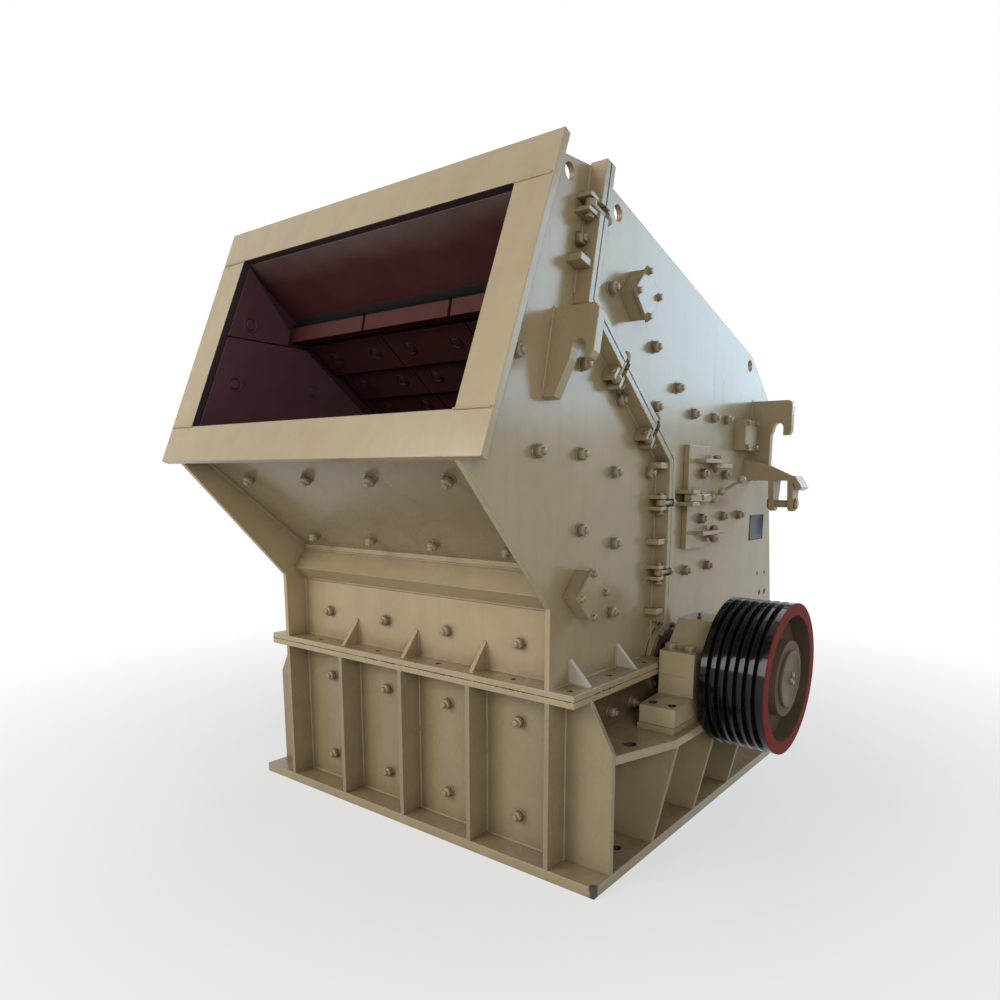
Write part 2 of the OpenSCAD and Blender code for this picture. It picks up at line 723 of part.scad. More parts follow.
module rear_wall() {
    color(paint) slab(-xi, xi, [
        meet(roof_low[1], chamfer_dir, wall_out, rear_wall_dir),
        meet(wall_out, rear_wall_dir, [0, up_z], [1, 0]),
        meet(wall_in, rear_wall_dir, [0, up_z], [1, 0]),
        meet(roof_low[1], chamfer_dir, wall_in, rear_wall_dir)
    ]);
}
module rear_bottom_flange() {
    color(paint) intersection() {
        flange_ring(joint_z, xi);
        block(-flange_x - eps, flange_x + eps, axle[0], yr, 0, top_z);
    }
}
module rear_parting_flanges() {
    color(paint) both() difference() {
        slab(xs, xs + part_flange_w, band(flange_line, part_gap / 2, part_gap / 2 + part_flange_t));
        swing_slots();
    }
}
liner_edge = 20;
module rear_side_liners() {
    e = beside(part_line, part_gap / 2 + plate_t + 5);
    top = beside(roof_path, -roof_inset - plate_t - liner_edge);
    rear = wall_in + left_of(rear_wall_dir) * -liner_edge;
    color(primer) both() difference() {
        slab(xi - liner_t, xi, [
            meet(top[0], unit(top[1] - top[0]), e[1], part_lean), e[1] + part_lean * 60, e[2],
            [e[3][0], flange_end_z], meet(rear, rear_wall_dir, [0, flange_end_z], [1, 0]),
            meet(rear, rear_wall_dir, top[1], chamfer_dir), top[1]
        ]);
        block(xi - 2 * liner_t, xi + eps, door_mid[0] - door_hole[0] / 2, door_mid[0] + door_hole[0] / 2,
            door_mid[1] - door_hole[1] / 2, door_mid[1] + door_hole[1] / 2);
        for (p = [front_pivot, rear_pivot]) rod(xi - 2 * liner_t, xi + eps, p, pivot_r + cover_gap);
    }
}
apron_w = 2 * (xi - liner_t) - 20;
front_pivot = part_line[1] + [387, 93];
rear_pivot = rear_top - [403, 226];
pivot_r = 45;
eye_r = 72;
apron_t = 80;
apron_seat = 150;
apron_head = 40;
rear_path = [rear_pivot, rear_pivot + [-70, -320], rear_pivot + [-60, -600], [axle[0] + 690, axle[1] + 370]];
module apron(path) {
    difference() {
        union() {
            slab(-apron_w / 2, apron_w / 2, band(path, -apron_t / 2, apron_t / 2));
            rod(-apron_w / 2, apron_w / 2, path[0], eye_r);
        }
        rod(-apron_w, apron_w, path[0], pivot_r + run_gap);
    }
}
// point at a distance s down the slant of the parting line and d behind it
slant_down = unit(part_line[2] - part_line[1]);
slant_len = norm(part_line[2] - part_line[1]);
function apron_at(s, d) = part_line[1] + slant_down * s + left_of(slant_down) * d;
front_path = [
    apron_at(apron_head, apron_seat + apron_t / 2), apron_at(slant_len - 40, apron_seat + apron_t / 2),
    [axle[0] + 60, axle[1] + rotor_r + 110]
];
module front_apron() {
    link = (front_pivot - part_line[1]) * slant_down;
    color(primer) difference() {
        union() {
            slab(-apron_w / 2, apron_w / 2, band(front_path, -apron_t / 2, apron_t / 2));
            slab(-apron_w / 2, apron_w / 2, [
                apron_at(link - eye_r, apron_seat + apron_t / 2), apron_at(link + eye_r, apron_seat + apron_t / 2),
                front_pivot + slant_down * (eye_r - 12), front_pivot - slant_down * (eye_r - 12)
            ]);
            rod(-apron_w / 2, apron_w / 2, front_pivot, eye_r);
        }
        rod(-apron_w, apron_w, front_pivot, pivot_r + run_gap);
    }
}
// stepped rows of wear blocks on the apron, each row set further back than the one above it
row_n = 4;
row_gap = 8;
row_step = 22;
row_first = 14;
row_head = 24;
row_pitch = (slant_len - 70 - row_head) / row_n;
row_seg = (apron_w - 2 * row_gap) / 3;
module apron_blocks() {
    color(primer) for (k = [0 : row_n - 1], i = [-1 : 1]) {
        x = i * (row_seg + row_gap);
        near = row_head + k * row_pitch;
        face = row_first + k * row_step;
        slab(x - row_seg / 2, x + row_seg / 2, [
            apron_at(near, face), apron_at(near + row_pitch - row_gap, face),
            apron_at(near + row_pitch - row_gap, apron_seat - seat_gap), apron_at(near, apron_seat - seat_gap)
        ]);
    }
}
module rear_apron() { color(primer) apron(rear_path); }
module apron_shafts() {
    color(steel) for (p = [front_pivot, rear_pivot]) rod(-xi, xi, p, pivot_r);
}
module rear_hooks() {
    color(paint) both() translate([xs, rear_top[0] - 242 + hook_t, rear_top[1] - 32]) rotate([90, 0, 0])
        hook_plate(225, 353, 113, 115);
}
box_w = 160;
box_h = 64;
module apron_shaft_covers() {
    color(paint) both() {
        square_cover(front_pivot, 47);
        block(xs, xs + box_h, rear_pivot[0] - box_w / 2, rear_pivot[0] + box_w / 2,
            rear_pivot[1] - box_w / 2, rear_pivot[1] + box_w / 2);
    }
}
// bracket for the opening cylinder: bent shelf plate, upright gusset and two lugs
bracket_y = rear_pivot[0] + 75;
bracket_z = rear_pivot[1] - 214;
bracket_l = 120;
bracket_out = 290;
bracket_t = 26;
clevis_at = [bracket_y + bracket_l / 2, bracket_z - 151];
clevis_r = 20;
clevis_lug_r = 40;
clevis_lug_t = 30;
clevis_x = [xs + 145, xs + 250];
// extrude an X-Z outline along Y from y0 to y1
module wall(y0, y1, pts) {
    translate([0, y1, 0]) rotate([90, 0, 0]) linear_extrude(height = y1 - y0) polygon(pts);
}
module cylinder_brackets() {
    under = bracket_z - bracket_t;
    color(paint) both() difference() {
        union() {
            wall(bracket_y, bracket_y + bracket_l, [
                [xs, under], [xs + bracket_out - 15, under], [xs + bracket_out + 19, bracket_z - 78],
                [xs + bracket_out + 41, bracket_z - 63], [xs + bracket_out, bracket_z], [xs, bracket_z]
            ]);
            wall(bracket_y, bracket_y + rib_t, [
                [xs, bracket_z], [xs + bracket_out - 15, bracket_z], [xs + bracket_out - 140, bracket_z + 56],
                [xs, bracket_z + 94]
            ]);
            for (x = clevis_x) {
                slab(x, x + clevis_lug_t, [
                    [bracket_y, under], clevis_at - [clevis_lug_r, 0], clevis_at + [clevis_lug_r, 0],
                    [bracket_y + bracket_l, under]
                ]);
                rod(x, x + clevis_lug_t, clevis_at, clevis_lug_r);
            }
        }
        rod(clevis_x[0] - eps, clevis_x[1] + clevis_lug_t + eps, clevis_at, clevis_r + run_gap);
    }
}
module cylinder_pins() {
    color(steel) both() rod(clevis_x[0] - 15, clevis_x[1] + clevis_lug_t + 15, clevis_at, clevis_r);
}

// inspection door on the rear casing
door_x = xs + cover_gap;
door_face = door_x + door_t;
door_pin_r = 13;
knuckle_r = 26;
door_axis = [door_face + knuckle_r, door_mid[0] + door_w / 2 + knuckle_r + 6];
arm_t = 20;
arm_z = [door_z + door_h / 2 - 82, door_z - door_h / 2 + 65];
door_lug_l = 136;
module upright(x, y, z0, z1, r) {
    translate([x, y, z0]) cylinder(r = r, h = z1 - z0);
}
module door_hinge_lugs() {
    color(paint) both() for (z = arm_z) difference() {
        z1 = z - cover_gap;
        union() {
            upright(door_axis[0], door_axis[1], z1 - arm_t, z1, knuckle_r);
            block(xs, door_axis[0], door_axis[1] - knuckle_r, door_axis[1] + door_lug_l, z1 - arm_t, z1);
            block(door_axis[0] - eps, door_axis[0] + knuckle_r, door_axis[1], door_axis[1] + door_lug_l, z1 - arm_t, z1);
        }
        upright(door_axis[0], door_axis[1], z1 - arm_t - eps, z1 + eps, door_pin_r + run_gap);
    }
}
// clamp of the door: a tongue between two keepers, a screw through the door's boss and a bar handle
tongue_half = 18;
tongue_x = door_face + 34;
keeper_t = 18;
keeper_y = [door_mid[0] - door_w / 2 - 84, door_mid[0] - door_w / 2 - 10];
screw_r = 14;
screw_end = door_mid[0] + 97;
screw_ball_r = 30;
boss_r = 25;
boss_y = [door_mid[0] - 63, screw_end - screw_ball_r - 40];
bar_r = 8;
bar_l = 169;
bar_tilt = 31;
ball_r = 20;
// rod along Y through the clamp's axis
module along(y0, y1, r) {
    translate([tongue_x, y1, door_z]) rotate([90, 0, 0]) cylinder(r = r, h = y1 - y0);
}
module door() {
    color(paint) difference() {
        union() {
            block(door_x, door_face, door_mid[0] - door_w / 2, door_mid[0] + door_w / 2,
                door_z - door_h / 2, door_z + door_h / 2);
            for (z = arm_z) {
                block(door_face, door_axis[0] + knuckle_r, door_mid[0] - 40, door_axis[1], z, z + arm_t);
                upright(door_axis[0], door_axis[1], z, z + arm_t, knuckle_r);
                upright(door_axis[0], door_axis[1], z - cover_gap - arm_t - 24, z + arm_t + 22, door_pin_r);
            }
            along(boss_y[0], boss_y[1], boss_r);
            block(door_face, tongue_x, boss_y[0] + 10, boss_y[1] - 10, door_z - boss_r + 6, door_z + boss_r - 6);
        }
        along(boss_y[0] - eps, boss_y[1] + eps, screw_r + run_gap);
    }
}
module door_keepers() {
    color(paint) both() for (z = [door_z - tongue_half - cover_gap - keeper_t, door_z + tongue_half + cover_gap])
        block(xs, tongue_x + 34, keeper_y[0], keeper_y[1], z, z + keeper_t);
}
module clamp() {
    color(paint) union() {
        block(tongue_x - tongue_half, tongue_x + tongue_half, keeper_y[0] + 14, boss_y[0] - cover_gap,
            door_z - tongue_half, door_z + tongue_half);
        along(boss_y[0] - 2 * cover_gap, screw_end, screw_r);
        translate([tongue_x, screw_end, door_z]) {
            rotate([90, 180, 0]) sphere(r = screw_ball_r);
            rotate([0, 90 - bar_tilt, 0]) {
                cylinder(r = bar_r, h = bar_l);
                for (d = [56, bar_l]) translate([0, 0, d]) sphere(r = ball_r);
            }
        }
    }
}
module right_door() { door(); }
module left_door() { mirror([1, 0, 0]) door(); }
module right_door_clamp() { clamp(); }
module left_door_clamp() { mirror([1, 0, 0]) clamp(); }

foot_flange();
base_end_walls();
base_side_walls();
base_ribs();
base_top_flange();
bearing_shelves();
bearing_gussets();
front_side_plates();
front_bottom_flange();
front_wall();
chute_floor();
knee_beam();
feed_frame_rails();
feed_frame_posts();
front_roof();
lintel_plate();
lintel_blocks();
front_side_liners();
chute_liner();
front_parting_flanges();
front_gussets();
front_hooks();
front_square_covers();
swing_bolt_lugs();
flange_ribs();
bearing_soles();
bearing_bases();
bearing_caps();
bearing_covers();
seal_rings();
hinge_base_lugs();
hinge_pins();
shaft();
rotor_discs();
blow_bars();
pulley();
pulley_cap();
rear_side_plates();
rear_roof();
rear_front_plate();
rear_wall();
rear_bottom_flange();
rear_parting_flanges();
rear_side_liners();
front_apron();
apron_blocks();
rear_apron();
apron_shafts();
rear_hooks();
apron_shaft_covers();
cylinder_brackets();
cylinder_pins();
hinge_casing_lugs();
door_hinge_lugs();
door_keepers();
right_door();
left_door();
right_door_clamp();
left_door_clamp();
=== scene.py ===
"""Looks of the impact crusher: finishes of the plates, fasteners, weld beads, swing bolts and the studio."""
import json
import math

import bpy
from mathutils import Matrix, Vector


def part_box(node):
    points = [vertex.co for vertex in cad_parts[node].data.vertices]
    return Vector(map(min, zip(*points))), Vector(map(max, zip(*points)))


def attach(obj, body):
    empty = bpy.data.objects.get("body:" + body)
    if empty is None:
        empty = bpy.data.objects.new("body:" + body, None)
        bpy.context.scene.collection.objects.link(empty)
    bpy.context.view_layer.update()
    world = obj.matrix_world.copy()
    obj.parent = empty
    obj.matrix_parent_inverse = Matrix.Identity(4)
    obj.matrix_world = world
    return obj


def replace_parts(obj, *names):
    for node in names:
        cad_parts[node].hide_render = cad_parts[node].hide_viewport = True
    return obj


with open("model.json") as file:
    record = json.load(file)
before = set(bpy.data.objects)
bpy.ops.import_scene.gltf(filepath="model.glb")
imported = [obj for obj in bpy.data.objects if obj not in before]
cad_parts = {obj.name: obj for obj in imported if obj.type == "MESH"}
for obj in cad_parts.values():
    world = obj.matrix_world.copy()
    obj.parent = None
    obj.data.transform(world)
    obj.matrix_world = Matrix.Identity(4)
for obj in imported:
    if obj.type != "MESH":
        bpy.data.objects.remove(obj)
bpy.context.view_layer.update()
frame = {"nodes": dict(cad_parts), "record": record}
nodes = frame["nodes"]

# places on the machine, in metres
SIDE_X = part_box("front_side_plates")[1].x
INNER_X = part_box("front_wall")[1].x
WALL_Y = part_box("front_wall")[0].y
FRONT_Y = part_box("foot_flange")[0].y
FOOT_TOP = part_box("foot_flange")[1].z
JOINT_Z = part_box("base_top_flange")[1].z
JOINT_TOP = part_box("front_bottom_flange")[1].z
RIM_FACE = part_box("pulley")[1].x
AXLE = Vector((0, -0.271, 0.730))
CHUTE_FOOT = Vector((0, WALL_Y, 1.241))
CHUTE_ANGLE = math.radians(39.1)
CHUTE_UP = Vector((0, -math.cos(CHUTE_ANGLE), math.sin(CHUTE_ANGLE)))
CHUTE_OUT = Vector((0, -math.sin(CHUTE_ANGLE), -math.cos(CHUTE_ANGLE)))
FEED_LOW = Vector((0, -1.722, 1.63574))
FEED_UP = Vector((0, 0.371368, 0.928486))
FEED_LEN = 1.120
FEED_BAR = 0.160
MOUTH_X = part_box("feed_frame_rails")[1].x - FEED_BAR
PART_LINE = [Vector((0, y, z)) for y, z in ((-0.958, 2.690), (-1.062, 2.207), (-0.381, 1.667), (-0.381, 0.779))]
FLANGE_FACE = 0.0285
ROOF_BEND = Vector((0, 0.679, 2.248))
REAR_TOP = Vector((0, 0.957, 2.046))
ROOF_DEPTH = 0.126
SIDES = (("right", 1), ("left", -1))
EDGE_ANGLE = 0.6


# modelling helpers
def clear_selection():
    if bpy.context.mode != "OBJECT":
        bpy.ops.object.mode_set(mode="OBJECT")
    bpy.ops.object.select_all(action="DESELECT")


def only(piece):
    clear_selection()
    piece.select_set(True)
    bpy.context.view_layer.objects.active = piece


def pick_faces(piece, test):
    """Edit mode on one piece with just the faces selected that pass the test."""
    only(piece)
    bpy.ops.object.mode_set(mode="EDIT")
    bpy.ops.mesh.select_mode(type="FACE")
    bpy.ops.mesh.select_all(action="DESELECT")
    bpy.ops.object.mode_set(mode="OBJECT")
    for face in piece.data.polygons:
        face.select = test(face)
    bpy.ops.object.mode_set(mode="EDIT")


def settle(piece, name):
    """Leaves edit mode and puts the piece's place into its mesh."""
    only(piece)
    piece.name = name
    bpy.ops.object.transform_apply(location=True, rotation=True, scale=True)
    return piece


def joined(pieces, name):
    clear_selection()
    for piece in pieces:
        piece.select_set(True)
    bpy.context.view_layer.objects.active = pieces[0]
    bpy.ops.object.join()
    pieces[0].name = name
    return pieces[0]


def soft_edges(piece, width, segments=1):
    only(piece)
    cut = piece.modifiers.new("edges", "BEVEL")
    cut.width = width
    cut.limit_method = "ANGLE"
    cut.angle_limit = EDGE_ANGLE
    cut.segments = segments
    bpy.ops.object.modifier_apply(modifier=cut.name)
    bpy.ops.object.shade_smooth_by_angle(angle=EDGE_ANGLE)
    return piece


def rod(name, sides, radius, length, at=(0, 0, 0), along_x=False):
    """Upright cylinder, or one along X, with its place in its mesh."""
    clear_selection()
    turn = (0, math.pi / 2, 0) if along_x else (0, 0, 0)
    bpy.ops.mesh.primitive_cylinder_add(vertices=sides, radius=radius, depth=length, location=at, rotation=turn)
    return settle(bpy.context.object, name)


def looking_up(face):
    return face.normal.z > 0.9


def looking_right(face):
    return face.normal.x > 0.9


def crowned(piece, rim, lift, edge):
    """The piece with its top inset by a rim and lifted, and its edges softened."""
    pick_faces(piece, looking_up)
    bpy.ops.mesh.inset(thickness=rim)
    bpy.ops.transform.translate(value=(0, 0, lift))
    bpy.ops.object.mode_set(mode="OBJECT")
    return soft_edges(piece, edge)


def step_in(rim, wall, shift):
    """Insets the picked faces by a rim and a narrow wall, and moves what lies within."""
    bpy.ops.mesh.inset(thickness=rim)
    bpy.ops.mesh.inset(thickness=wall)
    bpy.ops.transform.translate(value=shift)


def copies(master, name, places):
    """One piece of copies of the master, each at a point and facing out.

    A copy is turned by an angle, or has its side along a direction.
    """
    made = []
    for at, out, turn in places:
        one = master.copy()
        one.data = master.data.copy()
        bpy.context.collection.objects.link(one)
        out = Vector(out).normalized()
        if isinstance(turn, Vector):
            facing = Matrix((turn, out.cross(turn), out)).transposed().to_4x4()
        else:
            facing = out.to_track_quat("Z", "Y").to_matrix().to_4x4() @ Matrix.Rotation(turn, 4, "Z")
        one.data.transform(Matrix.Translation(at) @ facing)
        made.append(one)
    return joined(made, name)


def dress(piece, body, material):
    piece.data.materials.clear()
    piece.data.materials.append(material)
    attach(piece, body)
    return piece


def fit(master, name, places, body, material=None):
    """Copies of a master as one dressed piece on a body, in the fasteners' darkened paint, a painted shade, if
    no other is given.
    """
    return dress(copies(master, name, places), body, material or shaded_nut_paint)


# shader helpers
def shader_node(tree, kind, **settings):
    made = tree.nodes.new(kind)
    for key, value in settings.items():
        setattr(made, key, value)
    return made


def join_up(tree, source, target):
    tree.links.new(source, target)


def ramp(tree, source, low, high):
    """Stretches a value so that low becomes 0 and high becomes 1."""
    made = shader_node(tree, "ShaderNodeMapRange", clamp=True)
    made.inputs["From Min"].default_value = low
    made.inputs["From Max"].default_value = high
    join_up(tree, source, made.inputs["Value"])
    return made.outputs["Result"]


def maths(tree, operation, a, b):
    made = shader_node(tree, "ShaderNodeMath", operation=operation)
    for socket, value in zip(made.inputs, (a, b)):
        if isinstance(value, (int, float)):
            socket.default_value = value
        else:
            join_up(tree, value, socket)
    return made.outputs["Value"]


def times(tree, a, b):
    return maths(tree, "MULTIPLY", a, b)


def plus(tree, a, b):
    return maths(tree, "ADD", a, b)


def minus(tree, a, b):
    return maths(tree, "SUBTRACT", a, b)


def larger(tree, a, b):
    return maths(tree, "MAXIMUM", a, b)


def under(tree, value, limit, soft=0.001):
    """1 where a value is under a limit, with a soft step."""
    return ramp(tree, value, limit + soft, limit - soft)


def over(tree, value, limit, soft=0.001):
    """1 where a value is over a limit, with a soft step."""
    return ramp(tree, value, limit - soft, limit + soft)


def noise(tree, coords, scale, detail, roughness=0.5):
    made = shader_node(tree, "ShaderNodeTexNoise")
    made.inputs["Scale"].default_value = scale
    made.inputs["Detail"].default_value = detail
    made.inputs["Roughness"].default_value = roughness
    join_up(tree, coords, made.inputs["Vector"])
    return made.outputs["Fac"]


def mixed(tree, share, first, second):
    """Colour that goes from the first to the second as share goes from 0 to 1."""
    made = shader_node(tree, "ShaderNodeMix", data_type="RGBA")
    join_up(tree, share, made.inputs["Factor"])
    for socket, value in ((made.inputs[6], first), (made.inputs[7], second)):
        if isinstance(value, tuple):
            socket.default_value = (*value, 1)
        else:
            join_up(tree, value, socket)
    return made.outputs[2]


def new_group(name, ins, outs):
    group = bpy.data.node_groups.new(name, "ShaderNodeTree")
    for label, kind, value in ins:
        socket = group.interface.new_socket(label, in_out="INPUT", socket_type=kind)
        if value is not None:
            socket.default_value = value
    for label, kind in outs:
        group.interface.new_socket(label, in_out="OUTPUT", socket_type=kind)
    return group, group.nodes.new("NodeGroupInput"), group.nodes.new("NodeGroupOutput")


def weathering():
    """Cloudy tone, a tone on upward faces in patches, painted shade in corners and recesses mixed with dirt
    streaks, and chips along edges, from Object coordinates.
    """
    group, inside, out = new_group(
        "weathering",
        [("Coords", "NodeSocketVector", None), ("Edge width", "NodeSocketFloat", 0.006)],
        [("Tone", "NodeSocketFloat"), ("Shade_and_grime", "NodeSocketFloat"), ("Edge", "NodeSocketFloat"),
         ("Chips", "NodeSocketFloat"), ("Peel", "NodeSocketFloat"), ("Upward", "NodeSocketFloat"),
         ("Round", "NodeSocketVector")])
    coords = inside.outputs["Coords"]
    cloudy = plus(group, times(group, noise(group, coords, 1.3, 3), 0.6),
                   times(group, noise(group, coords, 9, 4), 0.4))
    join_up(group, ramp(group, cloudy, 0.32, 0.68), out.inputs["Tone"])
    stretch = shader_node(group, "ShaderNodeMapping")
    stretch.inputs["Scale"].default_value = (9, 9, 0.8)
    join_up(group, coords, stretch.inputs["Vector"])
    streaks = ramp(group, noise(group, stretch.outputs["Vector"], 1.6, 4, 0.6), 0.48, 0.75)
    # Painted shade: corners and recesses darkened by ambient occlusion, broken into patches, with dirt streaks
    # added.
    corner = shader_node(group, "ShaderNodeAmbientOcclusion", samples=6)
    corner.inputs["Distance"].default_value = 0.11
    corner_shade = ramp(group, corner.outputs["AO"], 0.85, 0.25)
    patches = ramp(group, noise(group, coords, 6, 5, 0.65), 0.35, 0.7)
    patchy_corner_shade = times(group, corner_shade, plus(group, times(group, patches, 0.6), 0.4))
    shade_and_grime = plus(group, patchy_corner_shade, times(group, streaks, 0.16))
    join_up(group, maths(group, "MINIMUM", shade_and_grime, 1.0), out.inputs["Shade_and_grime"])
    round_edge = shader_node(group, "ShaderNodeBevel", samples=4)
    join_up(group, inside.outputs["Edge width"], round_edge.inputs["Radius"])
    here = shader_node(group, "ShaderNodeNewGeometry")
    facing = shader_node(group, "ShaderNodeVectorMath", operation="DOT_PRODUCT")
    join_up(group, round_edge.outputs["Normal"], facing.inputs[0])
    join_up(group, here.outputs["Normal"], facing.inputs[1])
    join_up(group, round_edge.outputs["Normal"], out.inputs["Round"])
    edge = ramp(group, facing.outputs["Value"], 0.995, 0.86)
    join_up(group, edge, out.inputs["Edge"])
    spots = ramp(group, noise(group, coords, 22, 6, 0.7), 0.56, 0.64)
    rare = ramp(group, noise(group, coords, 2.2, 2), 0.47, 0.62)
    join_up(group, times(group, edge, times(group, spots, rare)), out.inputs["Chips"])
    join_up(group, noise(group, coords, 260, 2), out.inputs["Peel"])
    own = shader_node(group, "ShaderNodeTexCoord")
    upward = shader_node(group, "ShaderNodeSeparateXYZ")
    join_up(group, own.outputs["Normal"], upward.inputs["Vector"])
    # Upward faces, in patches, take a tone of their own: pale on most finishes, a darker brown on the khaki.
    blots = ramp(group, noise(group, coords, 14, 6, 0.7), 0.35, 0.75)
    patchy = plus(group, times(group, blots, 0.5), 0.5)
    on_top = times(group, ramp(group, upward.outputs["Z"], 0.3, 1.0), patchy)
    join_up(group, on_top, out.inputs["Upward"])
    return group


WEATHER = weathering()


def finish_of(name, base, deep, shade_and_grime, chip, rough, peel=0.0004, shade_and_grime_share=0.6, edge_highlight=None,
              on_top=(0.5, 0.46, 0.38), on_top_share=0.15, metallic=0.0, specular=0.5):
    """Painted or bare metal: two tones, painted shade in corners mixed with dirt, painted highlights along
    edges, a tone on upward faces and chips over a Principled surface.
    """
    made = bpy.data.materials.new(name)
    made.use_nodes = True
    tree = made.node_tree
    shader = tree.nodes["Principled BSDF"]
    where = shader_node(tree, "ShaderNodeTexCoord")
    wear = shader_node(tree, "ShaderNodeGroup", node_tree=WEATHER)
    join_up(tree, where.outputs["Object"], wear.inputs["Coords"])
    colour = mixed(tree, wear.outputs["Tone"], deep, base)
    # Lighter tone along edges: a painted highlight.
    if edge_highlight:
        colour = mixed(tree, times(tree, wear.outputs["Edge"], 0.5), colour, edge_highlight)
    colour = mixed(tree, times(tree, wear.outputs["Upward"], on_top_share), colour, on_top)
    # Painted shade in corners, mixed with dirt streaks.
    colour = mixed(tree, times(tree, wear.outputs["Shade_and_grime"], shade_and_grime_share), colour, shade_and_grime)
    colour = mixed(tree, wear.outputs["Chips"], colour, chip)
    join_up(tree, colour, shader.inputs["Base Color"])
    gloss = plus(tree, times(tree, wear.outputs["Tone"], 0.1), rough)
    gloss = plus(tree, gloss, times(tree, wear.outputs["Shade_and_grime"], 0.25))
    join_up(tree, maths(tree, "MINIMUM", gloss, 1.0), shader.inputs["Roughness"])
    shader.inputs["Metallic"].default_value = metallic
    shader.inputs["Specular IOR Level"].default_value = specular
    bump = shader_node(tree, "ShaderNodeBump")
    bump.inputs["Distance"].default_value = peel
    bump.inputs["Strength"].default_value = 0.35
    join_up(tree, wear.outputs["Peel"], bump.inputs["Height"])
    join_up(tree, wear.outputs["Round"], bump.inputs["Normal"])
    join_up(tree, bump.outputs["Normal"], shader.inputs["Normal"])
    return made


KHAKI = (0.43, 0.34, 0.20)
KHAKI_DEEP = (0.37, 0.285, 0.16)
# Lighter khaki of the painted highlight along edges.
KHAKI_EDGE_HIGHLIGHT = (0.50, 0.42, 0.28)
# BROWN colours the painted shade in corners, mixed with dirt.
BROWN = (0.09, 0.058, 0.03)
DARK_CHIP = (0.03, 0.024, 0.02)
# Darker brown for the upward faces of the khaki.
TOP_BROWN = (0.15, 0.10, 0.05)
LINING = (0.036, 0.012, 0.012)
LINING_LIGHT = (0.056, 0.017, 0.016)
# Near-black of the dark seams, and of the painted shade in holes.
SEAM_AND_HOLE_SHADE = (0.012, 0.010, 0.009)
SEAM_LIGHT = (0.03, 0.025, 0.022)
# Near-black painted shade for the dark bands at the roof's foot and the lintel's top.
GAP_SHADE = (0.004, 0.003, 0.003)
GAP_SHADE_PALE = (0.006, 0.004, 0.004)
RED = (0.085, 0.024, 0.023)
RED_DEEP = (0.055, 0.016, 0.016)
# The red primer's painted shade in corners, mixed with dirt.
RED_SHADE_AND_GRIME = (0.014, 0.009, 0.009)
RED_CHIP = (0.04, 0.024, 0.022)
BLOCK_CHIP = (0.03, 0.016, 0.015)


def khaki(name):
    """The semi-gloss khaki of the casing and base."""
    return finish_of(name, KHAKI, KHAKI_DEEP, BROWN, DARK_CHIP, 0.17, edge_highlight=KHAKI_EDGE_HIGHLIGHT, on_top=TOP_BROWN,
                     on_top_share=0.6)


paint = khaki("khaki_paint")
# The fasteners' khaki, darkened: painted shade.
shaded_nut_paint = finish_of(
    "fastener_shaded_paint", (0.35, 0.275, 0.165), (0.25, 0.19, 0.105), (0.05, 0.033, 0.018), DARK_CHIP, 0.25,
    shade_and_grime_share=0.9, edge_highlight=(0.50, 0.43, 0.31), on_top=TOP_BROWN)
weld_paint = finish_of(
    "weld_paint", (0.42, 0.335, 0.20), (0.33, 0.25, 0.14), BROWN, DARK_CHIP, 0.26, shade_and_grime_share=0.6)
# Dark khaki of the pulley's hub cap: painted shade.
shaded_hub_paint = finish_of(
    "shaded_hub_paint", (0.19, 0.135, 0.082), (0.15, 0.105, 0.063), (0.05, 0.033, 0.02), DARK_CHIP, 0.45,
    edge_highlight=(0.30, 0.24, 0.16), specular=0.1)
primer = finish_of(
    "red_primer", RED, RED_DEEP, RED_SHADE_AND_GRIME, RED_CHIP, 0.32,
    edge_highlight=(0.13, 0.042, 0.04), on_top=(0.16, 0.1, 0.09), specular=0.45)
# Darker red of the apron blocks and rear liner bolts: painted shade.
shaded_block_primer = finish_of(
    "red_block_shaded_primer", (0.07, 0.021, 0.019), (0.045, 0.013, 0.012), (0.01, 0.006, 0.006), BLOCK_CHIP, 0.45,
    shade_and_grime_share=0.9, edge_highlight=(0.10, 0.033, 0.03), on_top=(0.1, 0.05, 0.045), specular=0.3)
lintel_primer = finish_of(
    "lintel_primer", (0.085, 0.024, 0.021), (0.06, 0.016, 0.014), (0.012, 0.006, 0.006), BLOCK_CHIP, 0.55,
    edge_highlight=(0.12, 0.04, 0.036), on_top=(0.085, 0.028, 0.025), specular=0.12)
liner_primer = finish_of(
    "liner_primer", (0.12, 0.05, 0.058), (0.085, 0.034, 0.04), (0.018, 0.010, 0.011), (0.05, 0.03, 0.03), 0.45,
    edge_highlight=(0.17, 0.08, 0.085), on_top=(0.16, 0.1, 0.1), specular=0.35)
steel = finish_of(
    "dark_steel", (0.075, 0.07, 0.066), (0.04, 0.037, 0.035), (0.015, 0.012, 0.01), (0.25, 0.24, 0.23), 0.38,
    edge_highlight=(0.28, 0.27, 0.26), metallic=0.7)
iron = finish_of(
    "wear_iron", (0.16, 0.14, 0.125), (0.10, 0.085, 0.075), (0.03, 0.022, 0.018), (0.22, 0.2, 0.19), 0.55,
    edge_highlight=(0.3, 0.28, 0.26), metallic=0.6)
plate_dark = finish_of(
    "bare_plate", (0.05, 0.058, 0.067), (0.03, 0.035, 0.042), (0.016, 0.015, 0.014), (0.16, 0.16, 0.16), 0.4,
    specular=0.3)


def place_vector(tree):
    return next(n for n in tree.nodes if n.type == "TEX_COORD").outputs["Object"]


